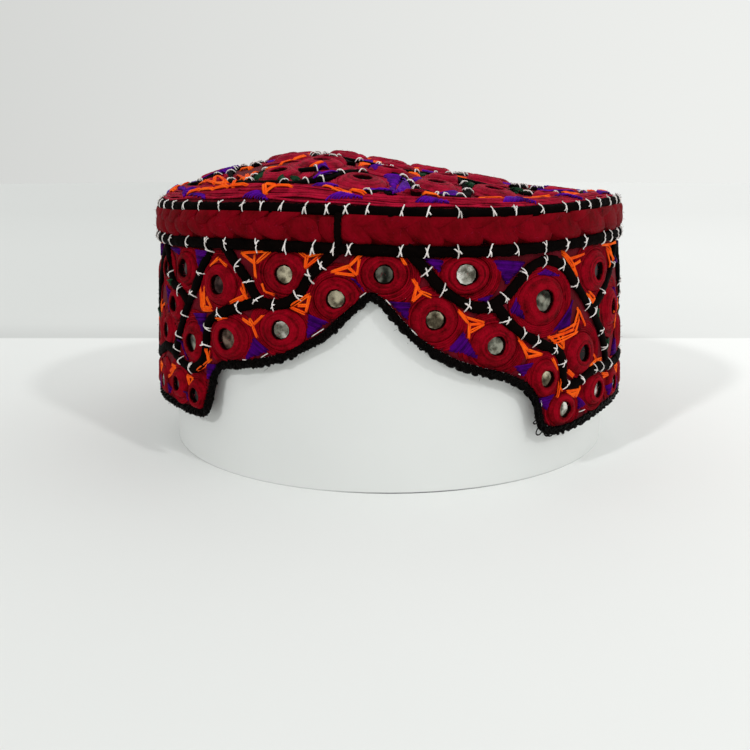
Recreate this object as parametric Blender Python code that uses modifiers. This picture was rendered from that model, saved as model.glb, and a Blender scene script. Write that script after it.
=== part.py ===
"""Sindhi cap on a round card display stand.

The cap has a domed crown, a side wall with a pointed front arch, a plaited band between two cords,
a crocheted edging, and small round mirrors, each sunk in a raised ring of thread.
Units are metres, +Z is up, and the front of the cap faces -Y.
A place on the cap is a turn, in degrees from the front towards +X, and a drop below the top cord.
"""

import math

import bmesh
import bpy
from mathutils import Vector
from mathutils.bvhtree import BVHTree

MM = 0.001
OBJECT_NAME = "sindhi_cap_on_display_stand"
GAP = 0.3 * MM

# Height of the top cord's centre above the surface that the stand rests on.
SEAM_HEIGHT = 94.4 * MM

# Card hoop of the display stand.
STAND_RADIUS = 88.9 * MM
STAND_WALL = 2.0 * MM
STAND_TOP_DROP = 2.6 * MM
STAND_SIDES = 72

# Crown: a padded disc, domed off centre, with a turned-down rim.
CROWN_RADIUS = 90.0 * MM
CROWN_THICKNESS = 1.8 * MM
CROWN_RIM_TOP = 0.4 * MM
CROWN_RIM_DROP = 1.4 * MM
CROWN_PUFF = 0.6
CROWN_SIDES = 48
CROWN_RINGS = (0.22, 0.42, 0.60, 0.76, 0.88, 0.96)

# Side wall: cloth that flares a little below the lower cord, with a few soft swells.
WALL_RADIUS = 91.0 * MM
WALL_THICKNESS = 1.8 * MM
WALL_TOP_DROP = 1.8 * MM
WALL_FLARE = 0.055
FLARE_START = 14.0 * MM
WALL_SWELL = 0.6 * MM
WALL_SWELLS = 5
WALL_ROWS = (0.0, 0.17, 0.58, 1.0)

# The upper seam rises and falls a little round the cap.
SEAM_WAVE = 0.8 * MM
SEAM_WAVES = 4
SEAM_WAVE_TURN = -20.0
WAVE_END_DROP = 18.0 * MM
WAVE_FADE = 5.0 * MM

TOP_CORD_THICKNESS = 3.2 * MM
LOWER_CORD_THICKNESS = 2.8 * MM
LOWER_CORD_DROP = 11.9 * MM
CORD_POINTS = 60

# Plaited band between the cords. Its ends meet at a black seam.
BAND_TOP_DROP = 2.05 * MM
BAND_BOTTOM_DROP = 10.05 * MM
BAND_DEPTH = 2.4 * MM
BAND_VALLEY = 0.8 * MM
BAND_RIBS = 66
BAND_LEAN = 0.8
BAND_SEAM_TURN = -5.0
BAND_SEAM_THICKNESS = 1.7 * MM

EDGING_THICKNESS = 3.2 * MM
EDGE_STEP = 11.0 * MM

# Arc of a whole turn and of one degree on the wall's radius, where lines are laid out flat.
TURN_ARC = 2.0 * math.pi * WALL_RADIUS
DEGREE_ARC = TURN_ARC / 360.0

# Centre line of the edging across the front, which the wall's lower edge follows.
# Columns: turn in degrees, drop in millimetres.
FRONT_EDGE = (
    (-75.0, 74.2),
    (-50.0, 73.4),
    (-41.0, 73.1),
    (-38.9, 71.2),
    (-37.8, 67.2),
    (-36.7, 61.5),
    (-35.6, 56.6),
    (-33.0, 53.7),
    (-28.0, 52.5),
    (-22.4, 50.7),
    (-17.4, 48.3),
    (-12.5, 44.3),
    (-8.4, 40.6),
    (-4.0, 34.4),
    (-0.6, 29.3),
    (1.5, 27.1),
    (3.6, 29.6),
    (6.9, 35.6),
    (11.3, 42.5),
    (17.4, 48.6),
    (23.4, 52.3),
    (29.6, 55.4),
    (34.6, 59.6),
    (37.4, 65.4),
    (38.6, 72.5),
    (40.3, 75.9),
    (45.0, 77.2),
    (52.0, 76.4),
    (60.0, 74.9),
    (75.0, 74.2),
)
BACK_EDGE_TURNS = (105.0, 142.5, 180.0, 217.5, 255.0)
BACK_EDGE_DROP = 74.2

# Height of the crown's top above its rim along X. Columns: x, rise, both in millimetres.
CROWN_PROFILE = (
    (-90.0, 0.0),
    (-83.0, 5.0),
    (-73.0, 9.4),
    (-63.0, 12.4),
    (-53.0, 14.8),
    (-44.0, 16.6),
    (-36.0, 18.2),
    (-20.0, 18.2),
    (-10.0, 16.8),
    (0.0, 14.8),
    (10.0, 13.0),
    (20.0, 11.4),
    (32.0, 9.8),
    (44.0, 7.2),
    (56.0, 5.2),
    (70.0, 3.6),
    (84.0, 1.8),
    (90.0, 0.0),
)

# Raised rings of thread on the front and sides, each round a mirror.
# Columns: turn in degrees; drop, half width, half height and mirror radius in millimetres.
FRONT_RINGS = (
    (-57.0, 23.3, 6.3, 5.8, 2.6),
    (-46.0, 21.7, 7.0, 6.0, 3.0),
    (-51.3, 35.4, 6.6, 6.2, 2.6),
    (-57.2, 46.4, 5.8, 5.6, 2.6),
    (-42.7, 47.3, 7.3, 7.3, 3.0),
    (-49.6, 64.4, 6.2, 5.4, 2.4),
    (-41.6, 66.2, 5.2, 6.0, 2.4),
    (-33.5, 25.6, 8.2, 7.1, 3.0),
    (-30.9, 43.6, 8.8, 7.3, 3.4),
    (-16.4, 20.4, 8.4, 6.6, 2.9),
    (-17.2, 38.5, 8.8, 7.0, 2.9),
    (-5.5, 27.6, 7.6, 7.0, 2.8),
    (4.0, 19.6, 7.5, 6.4, 2.8),
    (14.0, 34.2, 7.7, 7.4, 2.9),
    (20.4, 20.0, 8.6, 6.6, 3.3),
    (26.8, 43.7, 8.6, 7.4, 2.9),
    (38.7, 30.3, 10.3, 8.5, 3.6),
    (39.6, 57.1, 5.8, 6.7, 2.6),
    (44.9, 69.2, 7.0, 5.6, 2.6),
    (57.6, 66.0, 7.2, 5.6, 2.8),
    (51.6, 51.0, 8.6, 7.5, 2.8),
    (57.6, 22.9, 10.3, 7.4, 3.0),
    (67.8, 37.8, 8.0, 7.3, 2.8),
)

# The back repeats one pattern, and each repeat has one large ring.
BACK_REPEATS = 7
BACK_FIRST_TURN = 88.4
BACK_LAST_TURN = 285.6
BACK_RING = (30.3, 10.0, 8.4, 3.4)

RING_SIDES = 10
RING_HEIGHT = 1.5 * MM
RING_ROOT = 1.3 * MM
RING_TOP_SHARE = 0.84
RING_MARGIN = 0.7 * MM
RING_STEP = 0.2 * MM

MIRROR_THICKNESS = 0.8 * MM

# Mirrors on the crown, in a circle round its middle.
CROWN_MIRRORS = 9
CROWN_MIRROR_PLACE = 70.0 * MM
CROWN_MIRROR_TURN = -3.0
CROWN_MIRROR_RADIUS = 3.0 * MM


def clear_scene():
    for item in list(bpy.data.objects):
        bpy.data.objects.remove(item)


def make_collection(name):
    collection = bpy.data.collections.new(name)
    bpy.context.scene.collection.children.link(collection)
    return collection


def make_material(name, color, roughness, metallic=0.0):
    material = bpy.data.materials.new(name)
    material.use_nodes = True
    shader = material.node_tree.nodes["Principled BSDF"]
    shader.inputs["Base Color"].default_value = (*color, 1.0)
    shader.inputs["Roughness"].default_value = roughness
    shader.inputs["Metallic"].default_value = metallic
    return material


def add_object(name, data, material, collection, parent):
    item = bpy.data.objects.new(name, data)
    data.materials.append(material)
    collection.objects.link(item)
    item.parent = parent
    return item


def mesh_from(name, bm, sharp_angle=35.0):
    bmesh.ops.recalc_face_normals(bm, faces=bm.faces)
    mesh = bpy.data.meshes.new(name)
    bm.to_mesh(mesh)
    bm.free()
    mesh.shade_smooth()
    mesh.set_sharp_from_angle(angle=math.radians(sharp_angle))
    return mesh


def skin_grid(bm, grid, wrap):
    """Quads between neighbouring rows of vertices. Wrap joins each row's end to its start."""
    rows = [[bm.verts.new(point) for point in row] for row in grid]
    width = len(rows[0])
    for upper, lower in zip(rows, rows[1:]):
        for index in range(width if wrap else width - 1):
            after = (index + 1) % width
            bm.faces.new((upper[index], upper[after], lower[after], lower[index]))
    return rows


def seam_rise(turn, drop):
    """Rise of the upper seam at a turn. It fades out below the lower cord."""
    fade = min(max((WAVE_END_DROP - drop) / WAVE_FADE, 0.0), 1.0)
    return fade * SEAM_WAVE * math.cos(SEAM_WAVES * math.radians(turn - SEAM_WAVE_TURN))


def wall_radius(turn, drop):
    """Outer radius of the side wall."""
    below = max(drop - FLARE_START, 0.0)
    swell = WALL_SWELL * math.sin(WALL_SWELLS * math.radians(turn) + 1.0)
    return WALL_RADIUS + WALL_FLARE * below + swell * below / SEAM_HEIGHT


def place(turn, drop, radius):
    """Point at a turn, a drop below the top cord and a distance from the cap's axis."""
    angle = math.radians(turn)
    height = SEAM_HEIGHT - drop + seam_rise(turn, drop)
    return Vector((radius * math.sin(angle), -radius * math.cos(angle), height))


def smooth_line(points, step):
    """Points read from a smooth curve through the inner points, about a step apart."""
    line = []
    for before, start, end, after in zip(points, points[1:], points[2:], points[3:]):
        parts = max(2, round((end - start).length / step))
        for part in range(parts):
            t = part / parts
            line.append(
                before * (-0.5 * t + t * t - 0.5 * t ** 3)
                + start * (1.0 - 2.5 * t * t + 1.5 * t ** 3)
                + end * (0.5 * t + 2.0 * t * t - 1.5 * t ** 3)
                + after * (-0.5 * t * t + 0.5 * t ** 3)
            )
    return line


def edging_line():
    """Closed centre line of the edging laid out flat: arc along the wall, and drop."""
    back = [(turn, BACK_EDGE_DROP) for turn in BACK_EDGE_TURNS]
    points = [Vector((turn * DEGREE_ARC, drop * MM)) for turn, drop in (*FRONT_EDGE, *back)]
    whole_turn = Vector((TURN_ARC, 0.0))
    closed = [points[-1] - whole_turn, *points, points[0] + whole_turn, points[1] + whole_turn]
    return smooth_line(closed, EDGE_STEP)


def wall_edge_line(edging):
    """The wall's lower edge: the edging's line moved into the cloth by the edging's half thickness."""
    inset = EDGING_THICKNESS / 2.0 + GAP
    whole_turn = Vector((TURN_ARC, 0.0))
    padded = [edging[-1] - whole_turn, *edging, edging[0] + whole_turn]
    line = []
    for before, point, after in zip(padded, padded[1:], padded[2:]):
        along = (after - before).normalized()
        line.append(point + Vector((along.y, -along.x)) * inset)
    return line


def flat_to_place(point, inward):
    """Point on the wall from its flat layout, set in from the outer face."""
    turn = point.x / DEGREE_ARC
    return place(turn, point.y, wall_radius(turn, point.y) - inward)


def crown_height(x, y):
    """Height of the crown's top face above the surface that the stand rests on."""
    for (left, low), (right, high) in zip(CROWN_PROFILE, CROWN_PROFILE[1:]):
        if x <= right * MM:
            break
    share = min(max((x / MM - left) / (right - left), 0.0), 1.0)
    ridge = (low + (high - low) * share) * MM
    chord = max(CROWN_RADIUS ** 2 - x * x, 1e-9)
    fall = max(1.0 - y * y / chord, 0.0) ** CROWN_PUFF
    turn = math.degrees(math.atan2(x, -y))
    edge = seam_rise(turn, 0.0) * math.hypot(x, y) / CROWN_RADIUS
    return SEAM_HEIGHT + CROWN_RIM_TOP + edge + ridge * fall


def add_closed_cord(name, points, thickness, material, collection, parent):
    curve = bpy.data.curves.new(name, "CURVE")
    curve.dimensions = "3D"
    curve.bevel_depth = thickness / 2.0
    curve.bevel_resolution = 1
    spline = curve.splines.new("POLY")
    spline.points.add(len(points) - 1)
    for spline_point, point in zip(spline.points, points):
        spline_point.co = (*point, 1.0)
    spline.use_cyclic_u = True
    return add_object(name, curve, material, collection, parent)


def add_stand(material, collection, parent):
    bm = bmesh.new()
    top = SEAM_HEIGHT - STAND_TOP_DROP
    grid = []
    for height in (top, 0.0):
        row = []
        for index in range(STAND_SIDES):
            angle = 2.0 * math.pi * index / STAND_SIDES
            row.append((STAND_RADIUS * math.cos(angle), STAND_RADIUS * math.sin(angle), height))
        grid.append(row)
    skin_grid(bm, grid, wrap=True)
    hoop = add_object("stand_hoop", mesh_from("stand_hoop", bm), material, collection, parent)
    card = hoop.modifiers.new("card", "SOLIDIFY")
    card.thickness = STAND_WALL
    card.offset = -1.0
    card.use_even_offset = True
    return hoop


def add_crown(material, collection, parent):
    bm = bmesh.new()
    angles = [360.0 * index / CROWN_SIDES for index in range(CROWN_SIDES)]
    grid = []
    for share in (*CROWN_RINGS, 1.0):
        row = []
        for turn in angles:
            x = share * CROWN_RADIUS * math.sin(math.radians(turn))
            y = -share * CROWN_RADIUS * math.cos(math.radians(turn))
            row.append((x, y, crown_height(x, y)))
        grid.append(row)
    grid.append([place(turn, CROWN_RIM_DROP, CROWN_RADIUS) for turn in angles])
    rows = skin_grid(bm, grid, wrap=True)
    middle = bm.verts.new((0.0, 0.0, crown_height(0.0, 0.0)))
    inner = rows[0]
    for vertex, after in zip(inner, (*inner[1:], inner[0])):
        bm.faces.new((middle, vertex, after))
    crown = add_object("crown", mesh_from("crown", bm, 50.0), material, collection, parent)
    padding = crown.modifiers.new("padding", "SOLIDIFY")
    padding.thickness = CROWN_THICKNESS
    padding.offset = -1.0
    padding.use_even_offset = True
    return crown


def add_side_wall(edge, material, collection, parent):
    bm = bmesh.new()
    grid = []
    for share in WALL_ROWS:
        row = []
        for point in edge:
            drop = WALL_TOP_DROP + (point.y - WALL_TOP_DROP) * share
            row.append(flat_to_place(Vector((point.x, drop)), 0.0))
        grid.append(row)
    skin_grid(bm, grid, wrap=True)
    wall = add_object("side_wall", mesh_from("side_wall", bm), material, collection, parent)
    cloth = wall.modifiers.new("cloth", "SOLIDIFY")
    cloth.thickness = WALL_THICKNESS
    cloth.offset = -1.0
    return wall


def ring_reach(center, direction, half_size, edge):
    """How far a ring reaches from its centre before its own outline, the lower cord or the wall's edge."""
    widest = 1.0 / math.hypot(direction.x / half_size.x, direction.y / half_size.y)
    top_limit = LOWER_CORD_DROP + LOWER_CORD_THICKNESS / 2.0 + RING_MARGIN
    near_edge = [point for point in edge if abs(point.x - center.x) < 3.0 * half_size.x]
    reach = half_size.y / 2.0
    while reach < widest:
        tip = center + direction * (reach + RING_STEP)
        clearance = distance_to_line(tip, near_edge)
        if tip.y < top_limit or clearance < RING_MARGIN:
            break
        reach += RING_STEP
    return min(reach, widest)


def distance_to_line(point, line):
    nearest = math.inf
    for start, end in zip(line, line[1:]):
        span = end - start
        share = min(max((point - start).dot(span) / span.length_squared, 0.0), 1.0)
        nearest = min(nearest, (point - start - span * share).length)
    return nearest


def add_ring_pad(bm, turn, drop, half_size, hole_radius, edge):
    """One raised ring of thread, rooted in the wall's cloth, with an open hole for its mirror."""
    center = Vector((turn * DEGREE_ARC, drop))
    origin = flat_to_place(center, 0.0)
    out, across, up = wall_axes(turn)
    outlines = {"root": [], "top": [], "lip": [], "hole": []}
    for index in range(RING_SIDES):
        angle = 2.0 * math.pi * index / RING_SIDES
        direction = Vector((math.cos(angle), -math.sin(angle)))
        reach = ring_reach(center, direction, half_size, edge)
        spoke = across * direction.x - up * direction.y
        outlines["root"].append(origin + spoke * reach - out * RING_ROOT)
        outlines["top"].append(origin + spoke * reach * RING_TOP_SHARE + out * RING_HEIGHT)
        outlines["lip"].append(origin + spoke * (hole_radius + 0.5 * MM) + out * RING_HEIGHT)
        outlines["hole"].append(origin + spoke * hole_radius - out * RING_ROOT)
    rows = skin_grid(bm, list(outlines.values()), wrap=True)
    for index in range(RING_SIDES):
        after = (index + 1) % RING_SIDES
        bm.faces.new((rows[-1][index], rows[-1][after], rows[0][after], rows[0][index]))


def wall_axes(turn):
    """Directions out of the wall, across it and up it."""
    angle = math.radians(turn)
    tilt = math.atan(WALL_FLARE)
    radial = Vector((math.sin(angle), -math.cos(angle), 0.0))
    across = Vector((math.cos(angle), math.sin(angle), 0.0))
    out = radial * math.cos(tilt) + Vector((0.0, 0.0, math.sin(tilt)))
    return out, across, out.cross(across).normalized()


def all_rings():
    """Every ring as turn, drop, half size and mirror radius, in degrees and metres."""
    rings = []
    for turn, drop, half_width, half_height, mirror_radius in FRONT_RINGS:
        rings.append((turn, drop * MM, Vector((half_width, half_height)) * MM, mirror_radius * MM))
    drop, half_width, half_height, mirror_radius = BACK_RING
    for index in range(BACK_REPEATS):
        turn = BACK_FIRST_TURN + (BACK_LAST_TURN - BACK_FIRST_TURN) * index / (BACK_REPEATS - 1)
        rings.append((turn, drop * MM, Vector((half_width, half_height)) * MM, mirror_radius * MM))
    return rings


def join_ring_pads(wall, rings, edge, material, cutters):
    bm = bmesh.new()
    for turn, drop, half_size, mirror_radius in rings:
        add_ring_pad(bm, turn, drop, half_size, mirror_radius + GAP * 1.3, edge)
    pads = add_object("ring_pads", mesh_from("ring_pads", bm), material, cutters, None)
    pads.hide_render = True
    pads.display_type = "WIRE"
    raised = wall.modifiers.new("raised rings", "BOOLEAN")
    raised.operation = "UNION"
    raised.object = pads
    return pads


def add_mirror(name, surface, start, inward, radius, material, collection, parent):
    """Round mirror that lies just off the face that a line meets on its way inward."""
    hit, normal, _, _ = surface.ray_cast(start, inward)
    if normal.dot(inward) > 0.0:
        normal = -normal
    bm = bmesh.new()
    bmesh.ops.create_cone(
        bm, cap_ends=True, segments=RING_SIDES, radius1=radius, radius2=radius, depth=MIRROR_THICKNESS,
    )
    mirror = add_object(name, mesh_from(name, bm), material, collection, parent)
    mirror.location = hit + normal * (GAP * 1.2 + MIRROR_THICKNESS / 2.0)
    mirror.rotation_euler = normal.to_track_quat("Z", "Y").to_euler()
    return mirror


def add_wall_mirrors(wall, rings, material, collection, parent):
    surface = BVHTree.FromObject(wall, bpy.context.evaluated_depsgraph_get())
    for number, (turn, drop, _, mirror_radius) in enumerate(rings, start=1):
        out, _, _ = wall_axes(turn)
        start = place(turn, drop, wall_radius(turn, drop)) + out * 10.0 * MM
        name = f"wall_mirror_{number:02d}"
        add_mirror(name, surface, start, -out, mirror_radius, material, collection, parent)


def add_crown_mirrors(crown, material, collection, parent):
    surface = BVHTree.FromObject(crown, bpy.context.evaluated_depsgraph_get())
    for number in range(1, CROWN_MIRRORS + 1):
        turn = CROWN_MIRROR_TURN + 360.0 * (number - 1) / CROWN_MIRRORS
        start = place(turn, 0.0, CROWN_MIRROR_PLACE) + Vector((0.0, 0.0, 50.0 * MM))
        name = f"crown_mirror_{number:02d}"
        down = Vector((0.0, 0.0, -1.0))
        add_mirror(name, surface, start, down, CROWN_MIRROR_RADIUS, material, collection, parent)


def add_band(material, collection, parent):
    """Plaited band with leaning ribs, open where its ends meet at the seam."""
    inner = WALL_RADIUS + GAP
    half_gap = (BAND_SEAM_THICKNESS / 2.0 + GAP) / DEGREE_ARC
    span = 360.0 - 2.0 * half_gap
    columns = 2 * BAND_RIBS
    bm = bmesh.new()
    grid = []
    for index in range(columns + 1):
        turn = BAND_SEAM_TURN + half_gap + span * index / columns
        rib = index % 2
        lean = BAND_LEAN * span / columns if 0 < index < columns else 0.0
        crest = inner + BAND_DEPTH - BAND_VALLEY * (1 - rib)
        shoulder = crest - BAND_VALLEY
        grid.append([
            place(turn, BAND_TOP_DROP, inner),
            place(turn + lean, BAND_TOP_DROP, shoulder),
            place(turn, (BAND_TOP_DROP + BAND_BOTTOM_DROP) / 2.0, crest),
            place(turn - lean, BAND_BOTTOM_DROP, shoulder),
            place(turn, BAND_BOTTOM_DROP, inner),
        ])
    rows = skin_grid(bm, grid, wrap=True)
    bm.faces.new(rows[0])
    bm.faces.new(rows[-1])
    return add_object("braid_band", mesh_from("braid_band", bm), material, collection, parent)


def add_band_seam(material, collection, parent):
    """Short upright cord that covers the place where the band's ends meet."""
    radius = WALL_RADIUS + GAP + BAND_SEAM_THICKNESS / 2.0 + 0.6 * MM
    bm = bmesh.new()
    top = place(BAND_SEAM_TURN, BAND_TOP_DROP, radius)
    bottom = place(BAND_SEAM_TURN, BAND_BOTTOM_DROP, radius)
    bmesh.ops.create_cone(
        bm, cap_ends=True, segments=8,
        radius1=BAND_SEAM_THICKNESS / 2.0, radius2=BAND_SEAM_THICKNESS / 2.0, depth=(top - bottom).length,
    )
    seam = add_object("band_seam", mesh_from("band_seam", bm), material, collection, parent)
    seam.location = (top + bottom) / 2.0
    return seam


def cord_ring(drop, radius):
    turns = [360.0 * index / CORD_POINTS for index in range(CORD_POINTS)]
    return [place(turn, drop, radius) for turn in turns]


def build():
    clear_scene()
    parts = make_collection(OBJECT_NAME)
    cutters = make_collection("cutters")
    thread = make_material("crimson_thread", (0.22, 0.004, 0.018), 0.62)
    black = make_material("black_cord", (0.006, 0.006, 0.007), 0.75)
    glass = make_material("mirror_glass", (0.62, 0.60, 0.53), 0.12, 0.9)
    card = make_material("white_card", (0.78, 0.79, 0.77), 0.6)

    cap = bpy.data.objects.new("cap_frame", None)
    parts.objects.link(cap)

    edging = edging_line()
    edge = wall_edge_line(edging)
    rings = all_rings()

    add_stand(card, parts, cap)
    crown = add_crown(thread, parts, cap)
    wall = add_side_wall(edge, thread, parts, cap)
    add_wall_mirrors(wall, rings, glass, parts, cap)
    join_ring_pads(wall, rings, edge, thread, cutters)
    add_crown_mirrors(crown, glass, parts, cap)

    add_band(thread, parts, cap)
    add_band_seam(black, parts, cap)
    top_radius = CROWN_RADIUS + GAP + TOP_CORD_THICKNESS / 2.0
    lower_radius = WALL_RADIUS + GAP + LOWER_CORD_THICKNESS / 2.0
    add_closed_cord("top_cord", cord_ring(0.0, top_radius), TOP_CORD_THICKNESS, black, parts, cap)
    lower_ring = cord_ring(LOWER_CORD_DROP, lower_radius)
    add_closed_cord("lower_cord", lower_ring, LOWER_CORD_THICKNESS, black, parts, cap)
    hem = [flat_to_place(point, WALL_THICKNESS / 2.0) for point in edging]
    add_closed_cord("hem_edging", hem, EDGING_THICKNESS, black, parts, cap)


build()
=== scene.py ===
"""Looks of the sindhi cap on its round card stand: cloth, threads, cords, braid, edging and mirrors.

Lengths are metres, or millimetres where a name or a column says so, turned into metres with MM.
A place on the side wall is a turn, in degrees from the front towards +X, and a drop below the top cord.
A flat place is (arc, drop) in metres on the wall, and (x, y) in metres on the crown.
"""

import math

import bmesh
import bpy
import numpy as np
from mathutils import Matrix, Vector
from mathutils.kdtree import KDTree


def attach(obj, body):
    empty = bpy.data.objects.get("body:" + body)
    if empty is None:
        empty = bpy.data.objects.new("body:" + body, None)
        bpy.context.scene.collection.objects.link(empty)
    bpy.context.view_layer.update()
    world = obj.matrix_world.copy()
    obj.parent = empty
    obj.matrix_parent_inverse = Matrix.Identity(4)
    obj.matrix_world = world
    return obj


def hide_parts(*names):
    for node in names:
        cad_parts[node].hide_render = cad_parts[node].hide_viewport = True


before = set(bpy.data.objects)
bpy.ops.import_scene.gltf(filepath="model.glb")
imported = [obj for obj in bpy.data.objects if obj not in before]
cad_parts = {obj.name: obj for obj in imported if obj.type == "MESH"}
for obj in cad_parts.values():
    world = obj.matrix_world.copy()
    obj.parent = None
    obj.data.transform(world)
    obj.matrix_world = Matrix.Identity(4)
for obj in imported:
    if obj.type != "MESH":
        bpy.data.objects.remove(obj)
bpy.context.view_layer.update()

MM = 0.001
BODY = "root"

# The cap's main sizes, as the solids have them.
SEAM_HEIGHT = 94.4 * MM
CROWN_RADIUS = 90.0 * MM
CROWN_THICKNESS = 1.8 * MM
CROWN_RIM_TOP = 0.4 * MM
CROWN_RIM_DROP = 1.4 * MM
CROWN_PUFF = 0.6
WALL_RADIUS = 91.0 * MM
WALL_THICKNESS = 1.8 * MM
WALL_TOP_DROP = 1.8 * MM
WALL_FLARE = 0.055
FLARE_START = 14.0 * MM
WALL_SWELL = 0.6 * MM
WALL_SWELLS = 5
SEAM_WAVE = 0.8 * MM
SEAM_WAVES = 4
SEAM_WAVE_TURN = -20.0
WAVE_END_DROP = 18.0 * MM
WAVE_FADE = 5.0 * MM
LOWER_CORD_DROP = 11.9 * MM
BAND_TOP_DROP = 2.05 * MM
BAND_BOTTOM_DROP = 10.05 * MM
BAND_SEAM_TURN = -5.0
EDGING_THICKNESS = 3.2 * MM
GAP = 0.3 * MM
TURN_ARC = 2.0 * math.pi * WALL_RADIUS
DEGREE_ARC = TURN_ARC / 360.0
WHOLE_TURN = np.array([TURN_ARC, 0.0])
LINE_STEP = 1.0 * MM
CORD_SAMPLE = 0.4 * MM
TICK_SAMPLE = 0.5 * MM

# Centre line of the edging across the front. Columns: turn in degrees, drop in millimetres.
FRONT_EDGE = (
    (-75.0, 74.2), (-50.0, 73.4), (-41.0, 73.1), (-38.9, 71.2), (-37.8, 67.2), (-36.7, 61.5),
    (-35.6, 56.6), (-33.0, 53.7), (-28.0, 52.5), (-22.4, 50.7), (-17.4, 48.3), (-12.5, 44.3),
    (-8.4, 40.6), (-4.0, 34.4), (-0.6, 29.3), (1.5, 27.1), (3.6, 29.6), (6.9, 35.6), (11.3, 42.5),
    (17.4, 48.6), (23.4, 52.3), (29.6, 55.4), (34.6, 59.6), (37.4, 65.4), (38.6, 72.5), (40.3, 75.9),
    (45.0, 77.2), (52.0, 76.4), (60.0, 74.9), (75.0, 74.2),
)
BACK_EDGE_TURNS = (105.0, 142.5, 180.0, 217.5, 255.0)
BACK_EDGE_DROP = 74.2

# Height of the crown's top above its rim along X. Columns: x, rise, both in millimetres.
CROWN_PROFILE = (
    (-90.0, 0.0), (-83.0, 5.0), (-73.0, 9.4), (-63.0, 12.4), (-53.0, 14.8), (-44.0, 16.6),
    (-36.0, 18.2), (-20.0, 18.2), (-10.0, 16.8), (0.0, 14.8), (10.0, 13.0), (20.0, 11.4),
    (32.0, 9.8), (44.0, 7.2), (56.0, 5.2), (70.0, 3.6), (84.0, 1.8), (90.0, 0.0),
)

# Rings of thread on the front and sides, in the order of the wall's mirrors.
# Columns: turn in degrees; drop, half width, half height and mirror radius in millimetres.
FRONT_RINGS = (
    (-57.0, 23.3, 6.3, 5.8, 2.6), (-46.0, 21.7, 7.0, 6.0, 3.0), (-51.3, 35.4, 6.6, 6.2, 2.6),
    (-57.2, 46.4, 5.8, 5.6, 2.6), (-42.7, 47.3, 7.3, 7.3, 3.0), (-49.6, 64.4, 6.2, 5.4, 2.4),
    (-41.6, 66.2, 5.2, 6.0, 2.4), (-33.5, 25.6, 8.2, 7.1, 3.0), (-30.9, 43.6, 8.8, 7.3, 3.4),
    (-16.4, 20.4, 8.4, 6.6, 2.9), (-17.2, 38.5, 8.8, 7.0, 2.9), (-5.5, 27.6, 7.6, 7.0, 2.8),
    (4.0, 19.6, 7.5, 6.4, 2.8), (14.0, 34.2, 7.7, 7.4, 2.9), (20.4, 20.0, 8.6, 6.6, 3.3),
    (26.8, 43.7, 8.6, 7.4, 2.9), (38.7, 30.3, 10.3, 8.5, 3.6), (39.6, 57.1, 5.8, 6.7, 2.6),
    (44.9, 69.2, 7.0, 5.6, 2.6), (57.6, 66.0, 7.2, 5.6, 2.8), (51.6, 51.0, 8.6, 7.5, 2.8),
    (57.6, 22.9, 10.3, 7.4, 3.0), (67.8, 37.8, 8.0, 7.3, 2.8),
)
# Painted reflection of the mirror in each of those rings, and in the seven large rings behind, as its
# glass's colour:
# p pale, t tan, g grey, m mid brown, d dark brown, b nearly black.
MIRROR_REFLECTIONS = "ddbbgbbdmtptgtpggtppbbb" + "tgpdgtp"
BACK_REPEATS = 7
BACK_FIRST_TURN = 88.4
BACK_LAST_TURN = 285.6
BACK_RING = (30.3, 10.0, 8.4, 3.4)
REPEAT_TURN = (BACK_LAST_TURN - BACK_FIRST_TURN) / (BACK_REPEATS - 1)

# Black cords couched on the front. Points are turn in degrees, drop in millimetres.
FRONT_CORDS = (
    ((-32.0, 12.8), (-29.1, 17.4), (-26.0, 22.4), (-24.2, 26.7), (-22.4, 30.0)),
    ((-22.4, 30.0), (-18.9, 30.6), (-15.3, 28.9), (-13.1, 26.0), (-11.7, 22.1), (-10.0, 18.9),
     (-6.8, 14.6), (-5.1, 12.4)),
    ((-22.4, 30.0), (-25.1, 31.0), (-28.6, 32.8), (-32.2, 34.6), (-35.3, 36.7), (-37.3, 39.2),
     (-38.0, 44.0), (-38.6, 50.3), (-40.2, 54.6), (-42.9, 56.7), (-46.4, 56.7), (-50.0, 55.3),
     (-53.6, 53.1), (-58.0, 52.4)),
    ((-36.6, 13.9), (-38.0, 17.4), (-39.5, 20.6), (-41.5, 26.0), (-43.3, 30.3), (-45.1, 34.2),
     (-46.9, 38.1), (-48.4, 42.4), (-50.2, 47.4), (-51.3, 51.7)),
    ((-58.0, 15.5), (-53.6, 27.4), (-50.9, 28.9), (-47.8, 31.0), (-45.1, 34.2)),
    ((8.2, 10.5), (10.7, 15.5), (13.0, 20.0), (15.0, 23.7), (17.5, 26.9), (20.4, 29.6),
     (23.2, 31.0), (27.3, 31.4), (29.6, 36.0), (32.2, 39.2), (35.3, 42.4), (38.9, 45.3),
     (41.6, 47.0), (43.8, 49.2), (44.9, 53.1), (45.1, 57.4), (45.8, 60.6), (48.7, 61.4),
     (51.8, 60.6), (54.9, 58.9), (58.9, 58.1), (62.0, 58.9), (66.5, 59.2), (72.0, 59.5)),
    ((25.4, 31.2), (29.6, 27.4), (32.2, 23.5), (34.9, 19.6), (37.6, 17.4), (41.1, 17.1),
     (44.2, 18.9), (46.5, 21.7), (48.7, 25.3), (51.4, 29.6), (54.0, 33.9), (56.3, 37.1),
     (58.9, 41.7), (61.1, 46.0), (62.9, 51.7), (63.8, 56.7)),
    ((55.3, 36.0), (58.9, 33.9), (61.6, 31.0), (64.3, 27.4), (66.9, 24.6), (69.2, 20.3),
     (72.0, 15.0)),
)

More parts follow.
